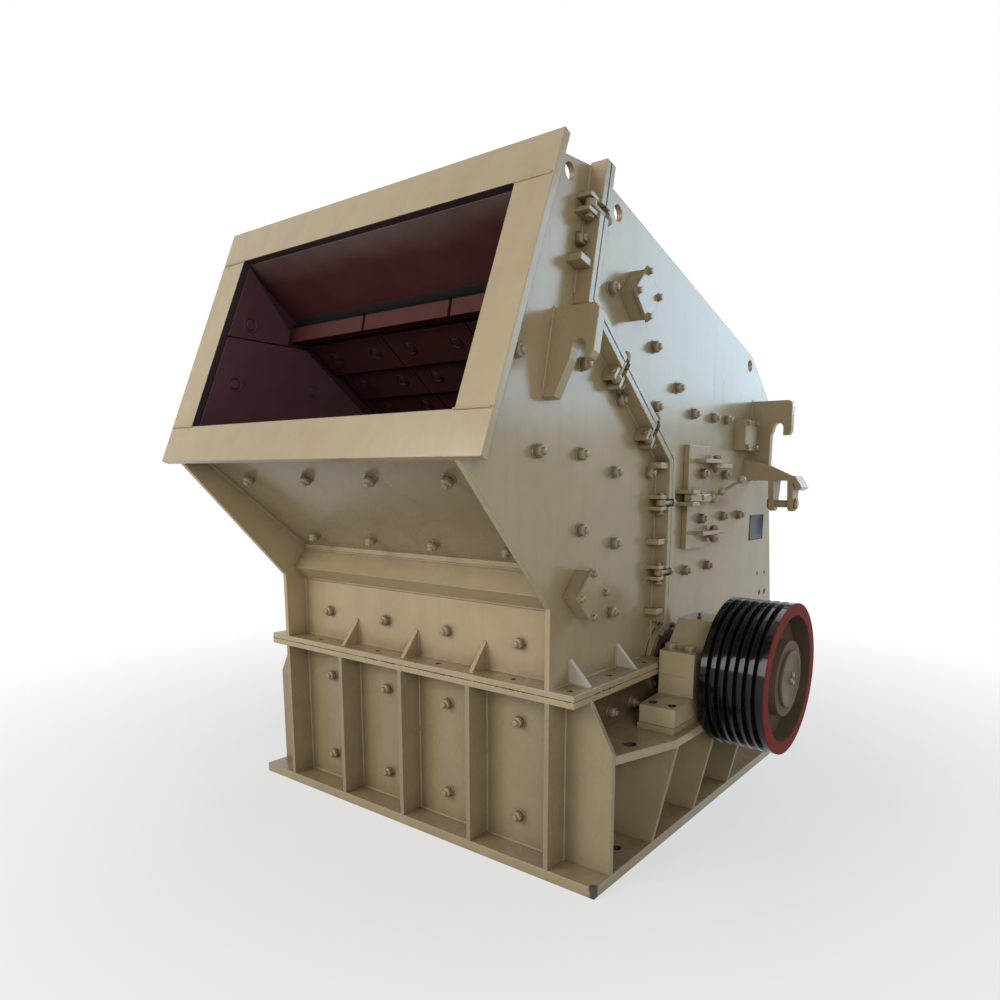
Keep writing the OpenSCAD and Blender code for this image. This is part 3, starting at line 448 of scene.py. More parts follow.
def sockets_of(made):
    """The tree, shader, weathering group, place and own normal of a finish."""
    tree = made.node_tree
    where = next(n for n in tree.nodes if n.type == "TEX_COORD")
    wear = next(n for n in tree.nodes if n.type == "GROUP")
    place = shader_node(tree, "ShaderNodeSeparateXYZ")
    join_up(tree, where.outputs["Object"], place.inputs["Vector"])
    normal = shader_node(tree, "ShaderNodeSeparateXYZ")
    join_up(tree, where.outputs["Normal"], normal.inputs["Vector"])
    return tree, tree.nodes["Principled BSDF"], wear.outputs, place.outputs, normal.outputs


def patched(made, mask, low, high, rougher=0.0):
    """The finish with another two-tone colour where the mask is 1."""
    tree, shader, wear, place, normal = sockets_of(made)
    base = shader.inputs["Base Color"].links[0].from_socket
    share = mask(tree, wear, place, normal)
    join_up(tree, mixed(tree, share, base, mixed(tree, wear["Tone"], low, high)), shader.inputs["Base Color"])
    if rougher:
        gloss = shader.inputs["Roughness"].links[0].from_socket
        rough = plus(tree, gloss, times(tree, share, rougher))
        join_up(tree, maths(tree, "MINIMUM", rough, 1.0), shader.inputs["Roughness"])
    return made


def apart(tree, first, second, at):
    """Distance of a pair of coordinates from a point."""
    da = minus(tree, first, at[0])
    db = minus(tree, second, at[1])
    return maths(tree, "SQRT", plus(tree, times(tree, da, da), times(tree, db, db)), 0)


def from_axle(tree, place):
    return apart(tree, place["Y"], place["Z"], (AXLE.y, AXLE.z))


def from_line(tree, place, at, square):
    """Distance in the middle plane from the line through a point, counted along the direction square to it."""
    return plus(tree, times(tree, minus(tree, place["Y"], at.y), square.y),
                times(tree, minus(tree, place["Z"], at.z), square.z))


def beside_middle(tree, place):
    return maths(tree, "ABSOLUTE", place["X"], 0)


PULLEY_WEB = 0.2765
SEAL_STEP = 0.148


def pulley_face(tree, wear, place, normal):
    ragged = times(tree, minus(tree, wear["Peel"], 0.5), 0.004)
    return ramp(tree, plus(tree, place["X"], ragged), RIM_FACE - 0.0045, RIM_FACE - 0.003)


# Painted shade: the pulley's web and hub inside the rim take a dark khaki.
def shaded_pulley_inside(tree, wear, place, normal):
    return under(tree, from_axle(tree, place), PULLEY_WEB)


pulley_paint = finish_of(
    "pulley_paint", (0.006, 0.006, 0.007), (0.003, 0.003, 0.0035), (0.012, 0.009, 0.007), (0.06, 0.05, 0.04),
    0.05, shade_and_grime_share=0.25, on_top_share=0.0, specular=0.06)
patched(pulley_paint, pulley_face, (0.15, 0.016, 0.014), (0.22, 0.024, 0.02), 0.5)
# Dark khaki inside the rim: painted shade.
patched(pulley_paint, shaded_pulley_inside, (0.115, 0.082, 0.05), (0.155, 0.112, 0.068), 0.4)


def coat_grooves():
    """A clear coat on the pulley's black paint alone."""
    tree, shader, wear, place, normal = sockets_of(pulley_paint)
    bare = larger(tree, pulley_face(tree, wear, place, normal), shaded_pulley_inside(tree, wear, place, normal))
    join_up(tree, times(tree, minus(tree, 1.0, bare), 0.45), shader.inputs["Coat Weight"])
    shader.inputs["Coat Roughness"].default_value = 0.09


coat_grooves()


def square_to(upper, lower):
    """Direction square to a line in the middle plane, towards the rear of one that runs down."""
    down = (lower - upper).normalized()
    return Vector((0, -down.z, down.y))


def on_inner_side(tree, place):
    return under(tree, beside_middle(tree, place), INNER_X + 0.001, 0.0002)


def inside_front(tree, wear, place, normal):
    """Inner faces of the front side plates between the front roof and the chute or front wall."""
    low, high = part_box("front_roof")
    start, end = Vector((0, low.y, high.z)), Vector((0, high.y, low.z))
    below = under(tree, from_line(tree, place, end, square_to(start, end)), 0)
    above = under(tree, from_line(tree, place, CHUTE_FOOT, CHUTE_OUT), 0)
    behind = over(tree, place["Y"], WALL_Y)
    within = times(tree, below, larger(tree, above, behind))
    return times(tree, on_inner_side(tree, place), within)


def inside_rear(tree, wear, place, normal):
    """Inner faces of the rear side plates under the roof and in front of the rear wall."""
    within = on_inner_side(tree, place)
    for start, end in ((PART_LINE[0], ROOF_BEND), (ROOF_BEND, REAR_TOP)):
        gap = from_line(tree, place, start, square_to(start, end))
        within = times(tree, within, under(tree, gap, -ROOF_DEPTH))
    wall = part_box("rear_wall")
    foot, top = Vector((0, wall[1].y - 0.012, wall[0].z)), Vector((0, REAR_TOP.y - 0.075, REAR_TOP.z))
    gap = from_line(tree, place, foot, square_to(top, foot))
    return times(tree, within, under(tree, gap, 0))


def drilled_hole_shade(tree, wear, place, normal):
    """Painted shade of small open holes low on the rear casing's sides, as dark discs."""
    found = 0.0
    for y, z, radius in DRILLED_HOLES:
        away = apart(tree, place["Y"], place["Z"], (y, z))
        found = larger(tree, found, under(tree, away, radius))
    return found


def hole_wall_shade(points, radius):
    """Mask of the walls of upright holes at the points (x, y) of the right side and their likenesses, where
    shade is painted.
    """
    def mask(tree, wear, place, normal):
        found = 0.0
        for at in points:
            away = apart(tree, beside_middle(tree, place), place["Y"], at)
            found = larger(tree, found, under(tree, away, radius + 0.0009, 0.0003))
        return found
    return mask


def inside_mouth(tree, wear, place, normal):
    along = minus(tree, from_line(tree, place, FEED_LOW, FEED_UP), FEED_LEN / 2)
    tall = under(tree, maths(tree, "ABSOLUTE", along, 0), FEED_LEN / 2 - FEED_BAR + 0.001, 0.0002)
    return times(tree, tall, under(tree, beside_middle(tree, place), MOUTH_X + 0.001, 0.0002))


def facing(axis, way):
    """Mask of the faces that look along an axis, or against it where the way is -1."""
    def mask(tree, wear, place, normal):
        return ramp(tree, normal[axis], way * 0.5, way * 0.6)
    return mask


def seal_middle(tree, wear, place, normal):
    """The stepped middle of the shaft seals."""
    return under(tree, from_axle(tree, place), SEAL_STEP, 0.0005)


def roof_foot_shade(tree, wear, place, normal):
    """Painted shade: a dark band where the front roof comes down to the lintel."""
    return under(tree, place["Z"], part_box("front_roof")[0].z + 0.023, 0.003)


def roof_top_sheen(tree, wear, place, normal):
    """Painted sheen: a pale grey reflection on the front roof beside the feed frame, strongest at its top."""
    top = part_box("front_roof")[1].z
    soft = times(tree, noise(tree, place_vector(tree), 5, 3), 0.10)
    return times(tree, ramp(tree, plus(tree, place["Z"], soft), top - 0.05, top + 0.07), 0.6)


def lintel_head_shade(tree, wear, place, normal):
    """Painted shade: a dark band along the top of the lintel's blocks."""
    return over(tree, place["Z"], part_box("lintel_blocks")[1].z - 0.014, 0.002)


# Painted sheen: mask of the side gussets' faces, which take a paler khaki.
def side_gusset_sheen(tree, wear, place, normal):
    return ramp(tree, beside_middle(tree, place), SIDE_X - 0.0005, SIDE_X)


def shade_under_joint(tree, wear, place, normal):
    """Painted shade on the upper part of the base's sides, under the joint flange, between the bearing shelf
    and the joint.
    """
    soft = times(tree, minus(tree, noise(tree, place_vector(tree), 7, 4), 0.5), 0.1)
    return times(tree, ramp(tree, plus(tree, place["Z"], soft), 0.42, 0.56), 0.75)


def beside_bearing(tree, wear, place, normal):
    return under(tree, beside_middle(tree, place), SIDE_X + 0.118)


def parting_seam(tree, wear, place, normal):
    """Bare dark line between the parting flanges, fainter on their upright part."""
    ragged = times(tree, minus(tree, noise(tree, place_vector(tree), 40, 4), 0.5), 0.008)
    found = 0.0
    for upper, lower, share in zip(PART_LINE, PART_LINE[1:], (1.0, 1.0, 0.55)):
        away = maths(tree, "ABSOLUTE", from_line(tree, place, upper, square_to(upper, lower)), 0)
        line = under(tree, plus(tree, away, ragged), 0.004, 0.0008)
        reach = times(tree, ramp(tree, place["Z"], lower.z - 0.002, lower.z),
                      ramp(tree, place["Z"], upper.z + 0.002, upper.z))
        found = larger(tree, found, times(tree, times(tree, line, reach), share))
    return found


def joint_seam(tree, wear, place, normal):
    """Dark gap and flaked paint along the joint of base and casing."""
    where = place_vector(tree)
    flaked = ramp(tree, noise(tree, where, 5, 3), 0.42, 0.66)
    ragged = times(tree, minus(tree, noise(tree, where, 55, 5), 0.42), 0.016)
    away = maths(tree, "ABSOLUTE", minus(tree, place["Z"], JOINT_Z), 0)
    return ramp(tree, minus(tree, away, times(tree, ragged, flaked)), 0.0018, 0.0009)


def worn_corner(tree, wear, place, normal):
    """Paint knocked off the front right corner of the foot flange."""
    along = minus(tree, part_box("foot_flange")[1].x, place["X"])
    across = minus(tree, place["Y"], FRONT_Y)
    rough = times(tree, noise(tree, place_vector(tree), 30, 5), 0.06)
    return under(tree, plus(tree, larger(tree, along, across), rough), 0.057, 0.005)


# places of the holes marked with painted shade: (y, z) on the rear sides, (x, y) on flat tops
DRILLED_HOLES = ((0.941, 1.029, 0.012), (1.063, 1.024, 0.012), (0.995, 0.907, 0.018), (1.083, 0.903, 0.018))
JOINT_HOLES = [(0.886, s * y) for s in (1, -1) for y in (1.158, 0.870, 0.580)]
JOINT_HOLES += [(x, s * 1.158) for s in (1, -1) for x in (0.194, 0.6105)]
ANCHOR_HOLES = [(0.946, 0.882), (0.946, -0.882)]
SHELF_HOLES = [(1.020, -0.923), (1.020, 0.381)]
BLOCK_HOLES = [(x, y) for x in (0.982, 1.074) for y in (-0.668, 0.126)]


def lined(name, mask):
    """Khaki with the dark red of the lining where the mask is 1."""
    return patched(khaki(name), mask, LINING, LINING_LIGHT, 0.2)


front_side_paint = lined("front_side_paint", inside_front)
rear_side_paint = patched(lined("rear_side_paint", inside_rear), drilled_hole_shade, SEAM_AND_HOLE_SHADE, SEAM_AND_HOLE_SHADE, 0.4)
mouth_paint = patched(khaki("feed_frame_paint"), inside_mouth, (0.03, 0.018, 0.02), (0.045, 0.026, 0.028), 0.2)
front_wall_paint = lined("front_wall_paint", facing("Y", 1))
rear_wall_paint = lined("rear_wall_paint", facing("Y", -1))
roof_paint = lined("roof_paint", facing("Z", -1))
flange_paint = patched(khaki("parting_flange_paint"), parting_seam, SEAM_AND_HOLE_SHADE, SEAM_LIGHT, 0.3)
joint_paint = patched(khaki("joint_flange_paint"), joint_seam, SEAM_AND_HOLE_SHADE, SEAM_LIGHT, 0.3)
patched(joint_paint, hole_wall_shade(JOINT_HOLES, 0.011), SEAM_AND_HOLE_SHADE, SEAM_AND_HOLE_SHADE, 0.3)
foot_paint = patched(khaki("foot_flange_paint"), worn_corner, (0.03, 0.022, 0.018), (0.08, 0.06, 0.045), 0.3)
patched(foot_paint, hole_wall_shade(ANCHOR_HOLES, 0.021), SEAM_AND_HOLE_SHADE, SEAM_AND_HOLE_SHADE, 0.3)
# Darker khaki of the base's end walls, ribs and chute floor: painted shade.
shaded_base_paint = finish_of(
    "shaded_base_paint", (0.325, 0.255, 0.145), (0.28, 0.212, 0.116), BROWN, DARK_CHIP, 0.2,
    edge_highlight=(0.44, 0.37, 0.24), on_top=TOP_BROWN, on_top_share=0.6)
front_roof_paint = finish_of("front_roof_primer", RED, RED_DEEP, RED_SHADE_AND_GRIME, RED_CHIP, 0.32, specular=0.45)
# Painted sheen: a grey reflection at the top of the front roof.
patched(front_roof_paint, roof_top_sheen, (0.12, 0.10, 0.09), (0.22, 0.19, 0.17))
# Painted shade: dark bands at the roof's foot and along the lintel's top.
patched(front_roof_paint, roof_foot_shade, GAP_SHADE, GAP_SHADE_PALE, 0.4)
patched(lintel_primer, lintel_head_shade, GAP_SHADE, GAP_SHADE_PALE, 0.4)
shelf_paint = patched(khaki("shelf_paint"), hole_wall_shade(SHELF_HOLES, 0.026), SEAM_AND_HOLE_SHADE, SEAM_AND_HOLE_SHADE, 0.3)
# Lighter khaki of the bearing blocks and caps: painted light.
lit_block_paint = finish_of(
    "bearing_block_lit_paint", (0.50, 0.41, 0.25), (0.44, 0.355, 0.21), BROWN, DARK_CHIP, 0.17,
    edge_highlight=KHAKI_EDGE_HIGHLIGHT, on_top=TOP_BROWN, on_top_share=0.6)
patched(lit_block_paint, hole_wall_shade(BLOCK_HOLES, 0.018), SEAM_AND_HOLE_SHADE, SEAM_AND_HOLE_SHADE, 0.3)
seal_paint = patched(khaki("seal_paint"), seal_middle, (0.05, 0.007, 0.008), (0.075, 0.011, 0.011), 0.2)
# Painted shade under the joint flange on the base's sides.
side_wall_paint = patched(khaki("base_side_paint"), shade_under_joint, (0.05, 0.032, 0.018), (0.08, 0.053, 0.03))
# Darker khaki of the bearing gussets: painted shade.
shaded_gusset_paint = finish_of(
    "shaded_gusset_paint", (0.36, 0.285, 0.168), (0.30, 0.23, 0.13), BROWN, DARK_CHIP, 0.4,
    on_top=TOP_BROWN, on_top_share=0.4, specular=0.2)
front_gusset_paint = finish_of("front_gusset_paint", KHAKI, KHAKI_DEEP, BROWN, DARK_CHIP, 0.35, specular=0.3)
# The side gussets paler: a painted sheen.
patched(front_gusset_paint, side_gusset_sheen, (0.42, 0.38, 0.30), (0.52, 0.48, 0.39), 0.1)
shaft_paint = finish_of(
    "shaft_steel", (0.3, 0.29, 0.28), (0.22, 0.21, 0.2), (0.03, 0.025, 0.02), (0.1, 0.09, 0.08), 0.3,
    metallic=0.9)
patched(shaft_paint, beside_bearing, (0.07, 0.013, 0.013), (0.1, 0.02, 0.018), 0.2)

FINISHES = {"khaki_paint": paint, "red_primer": primer, "bare_steel": steel, "wear_iron": iron,
            "pulley_paint": pulley_paint}
for part in frame["record"]["subparts"]:
    cad = nodes[part["node"]]
    cad.data.materials.clear()
    cad.data.materials.append(FINISHES[part["material_slot"]])
OWN_FINISH = {
    "front_side_liners": liner_primer, "lintel_blocks": lintel_primer, "apron_blocks": shaded_block_primer,
    "front_side_plates": front_side_paint, "rear_side_plates": rear_side_paint,
    "feed_frame_rails": mouth_paint, "feed_frame_posts": mouth_paint, "front_wall": front_wall_paint,
    "rear_wall": rear_wall_paint, "rear_roof": roof_paint, "cylinder_pins": paint,
    "front_parting_flanges": flange_paint, "rear_parting_flanges": flange_paint,
    "base_top_flange": joint_paint, "front_bottom_flange": joint_paint, "rear_bottom_flange": joint_paint,
    "foot_flange": foot_paint, "shaft": shaft_paint, "pulley_cap": shaded_hub_paint, "bearing_shelves": shelf_paint,
    "bearing_bases": lit_block_paint, "bearing_caps": lit_block_paint, "seal_rings": seal_paint,
    "base_side_walls": side_wall_paint, "bearing_gussets": shaded_gusset_paint, "front_gussets": front_gusset_paint,
    "base_end_walls": shaded_base_paint, "base_ribs": shaded_base_paint, "chute_floor": shaded_base_paint,
    "front_roof": front_roof_paint}
for name, finish in OWN_FINISH.items():
    nodes[name].data.materials[0] = finish


# fasteners
def wall_nut():
    """Hex nut on a washer with the end of its stud."""
    nut = crowned(rod("nut", 6, 0.0245, 0.024, (0, 0, 0.016)), 0.004, 0.003, 0.0014)
    washer = soft_edges(rod("washer", 20, 0.0275, 0.004, (0, 0, 0.002)), 0.001)
    stud = crowned(rod("stud", 14, 0.0135, 0.016, (0, 0, 0.034)), 0.003, 0.0015, 0.001)
    return joined([nut, washer, stud], "wall_nut")


def cap_screw(radius, height):
    """Hex head on a thin washer."""
    head = rod("head", 6, radius, height, (0, 0, height / 2 + 0.003))
    crowned(head, radius * 0.18, height * 0.12, radius * 0.07)
    washer = soft_edges(rod("washer", 18, radius * 1.2, 0.004, (0, 0, 0.002)), 0.001)
    return joined([head, washer], "cap_screw")


def on_side(points):
    """Places on both side plates for points given as (y, z)."""
    return [(Vector((s * SIDE_X, y, z)), (s, 0, 0), 0.3 * i)
            for i, (y, z) in enumerate(points) for s in (1, -1)]


# places of the wall nuts, as (y, z) on the sides and as rows and columns on the walls
FRONT_PLATE = [(-1.306, 1.668), (-1.034, 1.667), (-0.781, 1.604), (-1.025, 1.380), (-0.775, 1.315),
               (-0.492, 1.605), (-0.756, 1.890), (-1.024, 1.995), (-1.071, 2.418), (-0.785, 1.027),
               (-1.425, 1.988)]
BASE_PLATE = [(-0.764, 0.586), (-0.572, 0.584)]
REAR_PLATE = [(-0.838, 2.300), (-0.475, 2.135), (-0.241, 1.990), (-0.447, 1.889), (-0.061, 1.889),
              (0.174, 1.887), (0.340, 1.889), (0.350, 1.609), (0.347, 1.391), (0.572, 1.392),
              (-0.089, 1.141), (0.172, 1.144)]
DOOR_NUTS = ((0.009, 1.609), (0.014, 1.391))
COLUMNS = (-0.600, -0.195, 0.195, 0.600)
CASING_ROW = 0.916
BASE_ROWS = (0.172, 0.586)
CHUTE_ROWS = (0.100, 0.525)
REAR_ROWS = (1.05, 1.65)
DOOR_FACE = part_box("right_door")[0].x + 0.027

nut = wall_nut()
front_places = on_side(FRONT_PLATE + BASE_PLATE)
front_places += [(Vector((x, WALL_Y, CASING_ROW)), (0, -1, 0), 0.2) for x in COLUMNS]
front_places += [(Vector((x, s * abs(WALL_Y), z)), (0, s, 0), 0.5)
                 for x in COLUMNS for z in BASE_ROWS for s in (-1, 1)]
front_places += [(CHUTE_FOOT + CHUTE_UP * d + Vector((x, 0, 0)), CHUTE_OUT, 0.4)
                 for x in COLUMNS for d in CHUTE_ROWS]
fit(nut, "front_wall_nuts", front_places, "frame")
outer = max((f for f in nodes["rear_wall"].data.polygons if f.normal.y > 0.8), key=lambda f: f.area)
rear_places = on_side(REAR_PLATE)
for z in REAR_ROWS:
    y = outer.center.y - (z - outer.center.z) * outer.normal.z / outer.normal.y
    rear_places += [(Vector((x, y, z)), outer.normal, 0.4) for x in COLUMNS]
fit(nut, "rear_wall_nuts", rear_places, "rear_casing")
for side, sign in SIDES:
    places = [(Vector((sign * DOOR_FACE, y, z)), (sign, 0, 0), 0.1) for y, z in DOOR_NUTS]
    fit(nut, side + "_door_nuts", places, side + "_door")
bpy.data.objects.remove(nut)


def on_part_line(z):
    """Point of the parting line at a height, the way down it and the way square to it towards the rear."""
    for upper, lower in zip(PART_LINE, PART_LINE[1:]):
        if upper.z >= z >= lower.z:
            down = (lower - upper).normalized()
            return upper + down * ((z - upper.z) / down.z), down, square_to(upper, lower)


def swing_bolt():
    """Eye bolt on its pin: eye at the middle, shank along Z through both flanges, washer and nut."""
    eye = soft_edges(rod("eye", 20, 0.022, 0.028, along_x=True), 0.003)
    shank = crowned(rod("shank", 18, 0.0155, 0.112, (0, 0, 0.071)), 0.003, 0.003, 0.001)
    washer = soft_edges(rod("washer", 20, 0.0235, 0.006, (0, 0, 0.0925)), 0.001)
    hex_nut = crowned(rod("hex_nut", 6, 0.0225, 0.022, (0, 0, 0.107)), 0.004, 0.0025, 0.0014)
    pin = rod("pin", 16, 0.0115, 0.086, along_x=True)
    pick_faces(pin, looking_right)
    bpy.ops.mesh.extrude_region_move(TRANSFORM_OT_translate={"value": (0, 0, 0)})
    bpy.ops.transform.resize(value=(1, 1.6, 1.6))
    bpy.ops.mesh.extrude_region_move(TRANSFORM_OT_translate={"value": (0.008, 0, 0)})
    bpy.ops.object.mode_set(mode="OBJECT")
    soft_edges(pin, 0.001)
    return joined([eye, shank, washer, hex_nut, pin], "swing_bolt")


SWING_BOLTS = (2.517, 2.010, 1.795, 1.475, 1.164)
EYE_FRONT, EYE_OUT = 0.0605, 0.046
bolt = swing_bolt()
places = []
for z in SWING_BOLTS:
    at, down, square = on_part_line(z)
    for sign in (1, -1):
        places.append((at - square * EYE_FRONT + Vector((sign * (SIDE_X + EYE_OUT), 0, 0)), square, down))
fit(bolt, "swing_bolts", places, "frame")
bpy.data.objects.remove(bolt)


def corners(middle, half, angle, face):
    """Places at the corners of a turned square cover with its middle at (y, z), on both sides."""
    turn = math.radians(angle)
    found = []
    for a, b in ((1, 1), (1, -1), (-1, 1), (-1, -1)):
        y = middle[0] + half * (a * math.cos(turn) - b * math.sin(turn))
        z = middle[1] + half * (a * math.sin(turn) + b * math.cos(turn))
        found += [(Vector((sign * face, y, z)), (sign, 0, 0), turn) for sign in (1, -1)]
    return found


def ring(x, out, radius, count, start=0.0):
    """Places round the axle on a face at x that looks along out."""
    return [(Vector((x, AXLE.y + radius * math.sin(a), AXLE.z + radius * math.cos(a))), (out, 0, 0), a)
            for a in (start + 2 * math.pi * i / count for i in range(count))]


COVER_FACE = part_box("front_square_covers")[1].x
BOX_FACE = SIDE_X + 0.064
FRONT_COVER, REAR_COVER, BOX_COVER = (-1.041, 1.134), (-0.675, 2.300), (0.554, 1.820)
COVER_HALF, BOX_HALF, COVER_TURN = 0.060, 0.063, 47
FLANGE_SCREWS, FLANGE_SCREW_X = (1.608, 1.385, 1.312, 1.044), 0.864
SEAL_FACE, SEAL_RING, COVER_RING = SIDE_X + 0.024, 0.166, 0.138
screw = cap_screw(0.0135, 0.013)
fit(screw, "front_cover_screws", corners(FRONT_COVER, COVER_HALF, COVER_TURN, COVER_FACE), "frame")
places = corners(REAR_COVER, COVER_HALF, COVER_TURN, COVER_FACE) + corners(BOX_COVER, BOX_HALF, 0, BOX_FACE)
for z in FLANGE_SCREWS:
    at, down, square = on_part_line(z)
    at = at + square * FLANGE_FACE
    places += [(at + Vector((sign * FLANGE_SCREW_X, 0, 0)), square, 0.3) for sign in (1, -1)]
fit(screw, "rear_cover_screws", places, "rear_casing")
places = []
for sign in (1, -1):
    places += ring(sign * SEAL_FACE, sign, SEAL_RING, 8, 0.2)
    places += ring(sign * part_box("bearing_covers")[1].x, sign, COVER_RING, 8, 0.4)
fit(screw, "bearing_screws", places, "frame")
bpy.data.objects.remove(screw)

CAP_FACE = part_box("pulley_cap")[1].x - 0.010
CAP_RADIUS, CAP_RING = 0.124, 0.019


def end_cap():
    """Disc that closes the shaft's end, with a rounded rim and a shallow turned step."""
    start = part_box("pulley_cap")[0].x
    middle = ((CAP_FACE + start) / 2, AXLE.y, AXLE.z)
    made = rod("pulley_end_cap", 64, CAP_RADIUS, CAP_FACE - start, middle, along_x=True)
    soft_edges(made, 0.003, segments=3)
    pick_faces(made, lambda f: f.normal.x > 0.999)
    step_in(0.012, 0.001, (-0.001, 0, 0))
    bpy.ops.object.mode_set(mode="OBJECT")
    return made


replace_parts(dress(end_cap(), "rotor", shaded_hub_paint), "pulley_cap")
low_screw = cap_screw(0.0105, 0.006)
fit(low_screw, "pulley_cap_screws", ring(CAP_FACE - 0.001, 1, CAP_RING, 3, 0.5), "rotor")
bpy.data.objects.remove(low_screw)

BLOCK_X = (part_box("bearing_bases")[1].x + SIDE_X + 0.120) / 2
SHOULDER_Z = AXLE.z + 0.108
CAP_BOLT_X, CAP_BOLT_Y = 0.046, 0.240
head = cap_screw(0.029, 0.024)
places = [(Vector((sx * (BLOCK_X + dx), AXLE.y + dy, SHOULDER_Z)), (0, 0, 1), 0.4 + dx)
          for sx in (1, -1) for dx in (-CAP_BOLT_X, CAP_BOLT_X) for dy in (-CAP_BOLT_Y, CAP_BOLT_Y)]
fit(head, "bearing_cap_bolts", places, "frame")
bpy.data.objects.remove(head)

HINGE_X, HINGE_Y = 0.879, 0.143
HINGE_HEADS, HINGE_FEET = (1.6805, 1.3305), (1.6395, 1.2895)
hinge_nut = cap_screw(0.0235, 0.014)
for side, sign in SIDES:
    places = [(Vector((sign * HINGE_X, HINGE_Y, z)), (0, 0, 1), 0.2) for z in HINGE_HEADS]
    places += [(Vector((sign * HINGE_X, HINGE_Y, z)), (0, 0, -1), 0.5) for z in HINGE_FEET]
    fit(hinge_nut, side + "_hinge_nuts", places, side + "_door")
bpy.data.objects.remove(hinge_nut)


def pin_collar():
    """Ring that keeps a clevis pin in place, with a sunken face."""
    made = rod("pin_collar", 28, 0.030, 0.012, (0, 0, 0.006))
    pick_faces(made, looking_up)
    step_in(0.008, 0.001, (0, 0, -0.003))
    bpy.ops.object.mode_set(mode="OBJECT")
    return soft_edges(made, 0.0012)


CLEVIS = Vector((0, 0.689, 1.455))
CLEVIS_ENDS = ((SIDE_X + 0.145, -1), (SIDE_X + 0.280, 1))
collar = pin_collar()
places = [(CLEVIS + Vector((sign * x, 0, 0)), (sign * out, 0, 0), 0.0)
          for sign in (1, -1) for x, out in CLEVIS_ENDS]
fit(collar, "clevis_pin_collars", places, "rear_casing")
bpy.data.objects.remove(collar)


def grease_nipple():
    """Hex foot, thin neck and ball head."""
    made = rod("grease_nipple", 6, 0.010, 0.010, (0, 0, 0.005))
    pick_faces(made, looking_up)
    for lift, scale in ((0, 0.55), (0.007, 1), (0.002, 1.5), (0.004, 1.0), (0.003, 0.6)):
        bpy.ops.mesh.extrude_region_move(TRANSFORM_OT_translate={"value": (0, 0, lift)})
        bpy.ops.transform.resize(value=(scale, scale, 1))
    bpy.ops.object.mode_set(mode="OBJECT")
    return soft_edges(made, 0.0006)


NIPPLE_FRONT = 0.055
nipple = grease_nipple()
cap_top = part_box("bearing_caps")[1].z
places = [(Vector((sign * BLOCK_X, AXLE.y - NIPPLE_FRONT, cap_top)), (0, 0, 1), 0.2) for sign in (1, -1)]
fit(nipple, "grease_nipples", places, "frame", steel)
bpy.data.objects.remove(nipple)


def liner_bolt():
    """Round bolt end let into a liner: raised rim, sunken ring and a flat head."""
    made = rod("liner_bolt", 24, 0.032, 0.004, (0, 0, 0.002))
    pick_faces(made, looking_up)
    step_in(0.004, 0.001, (0, 0, -0.003))
    step_in(0.006, 0.001, (0, 0, 0.003))
    bpy.ops.object.mode_set(mode="OBJECT")
    bpy.ops.object.shade_smooth_by_angle(angle=EDGE_ANGLE)
    return made


LINER_X = INNER_X - 0.030


def on_liners(points):
    """Places on the inner faces of both side liners for points given as (y, z)."""
    return [(Vector((s * LINER_X, y, z)), (-s, 0, 0), 0.0) for y, z in points for s in (1, -1)]


FRONT_LINER = [q for q in FRONT_PLATE if 1.3 < q[1] < 2.3 and q[0] > -1.4] + [(-1.353, 2.256), (-1.447, 1.984)]
REAR_LINER = [q for q in REAR_PLATE if 1.0 < q[1] < 2.1]
BLOCK_PITCH, BLOCK_WIDTH, BOLT_HALF = 0.194, 0.511, 0.140
FIRST_BOLT, ROW_STEP = 0.024 + 0.085, 0.022
liner_head = liner_bolt()
fit(liner_head, "front_liner_bolts", on_liners(FRONT_LINER), "frame", liner_primer)
slant = (PART_LINE[2] - PART_LINE[1]).normalized()
back = Vector((0, -slant.z, slant.y))
places = []
for row in range(4):
    at = PART_LINE[1] + slant * (FIRST_BOLT + row * BLOCK_PITCH) + back * (0.014 + row * ROW_STEP)
    places += [(at + Vector((column + half, 0, 0)), -back, 0.0)
               for column in (-BLOCK_WIDTH, 0, BLOCK_WIDTH) for half in (-BOLT_HALF, BOLT_HALF)]
places += on_liners(REAR_LINER)
fit(liner_head, "rear_liner_bolts", places, "rear_casing", shaded_block_primer)
bpy.data.objects.remove(liner_head)

PLATE_Y, PLATE_Z, PLATE_THICK = 0.880, 1.3095, 0.003
RIVET_Y, RIVET_Z = 0.097, 0.062


def nameplate():
    """Bare plate with a raised rim and four rivets on the rear casing's right side."""
    clear_selection()
    bpy.ops.mesh.primitive_cube_add(size=1, location=(SIDE_X + PLATE_THICK / 2, PLATE_Y, PLATE_Z),
                                    scale=(PLATE_THICK, 0.218, 0.149))
    made = settle(bpy.context.object, "nameplate")
    pick_faces(made, looking_right)
    step_in(0.008, 0.002, (-0.0015, 0, 0))
    bpy.ops.object.mode_set(mode="OBJECT")
    soft_edges(made, 0.0006)
    rivets = []
    for y in (-RIVET_Y, RIVET_Y):
        for z in (-RIVET_Z, RIVET_Z):
            clear_selection()
            bpy.ops.mesh.primitive_uv_sphere_add(segments=12, ring_count=8, radius=0.006,
                                                 location=(SIDE_X + PLATE_THICK / 2, PLATE_Y + y, PLATE_Z + z))
            rivet = settle(bpy.context.object, "rivet")
            pick_faces(rivet, lambda f: f.center.x > SIDE_X + 0.004)
            bpy.ops.transform.translate(value=(-0.0012, 0, 0))
            bpy.ops.object.mode_set(mode="OBJECT")
            bpy.ops.object.shade_smooth()
            rivets.append(rivet)
    return joined([made] + rivets, "nameplate")


dress(nameplate(), "rear_casing", plate_dark)


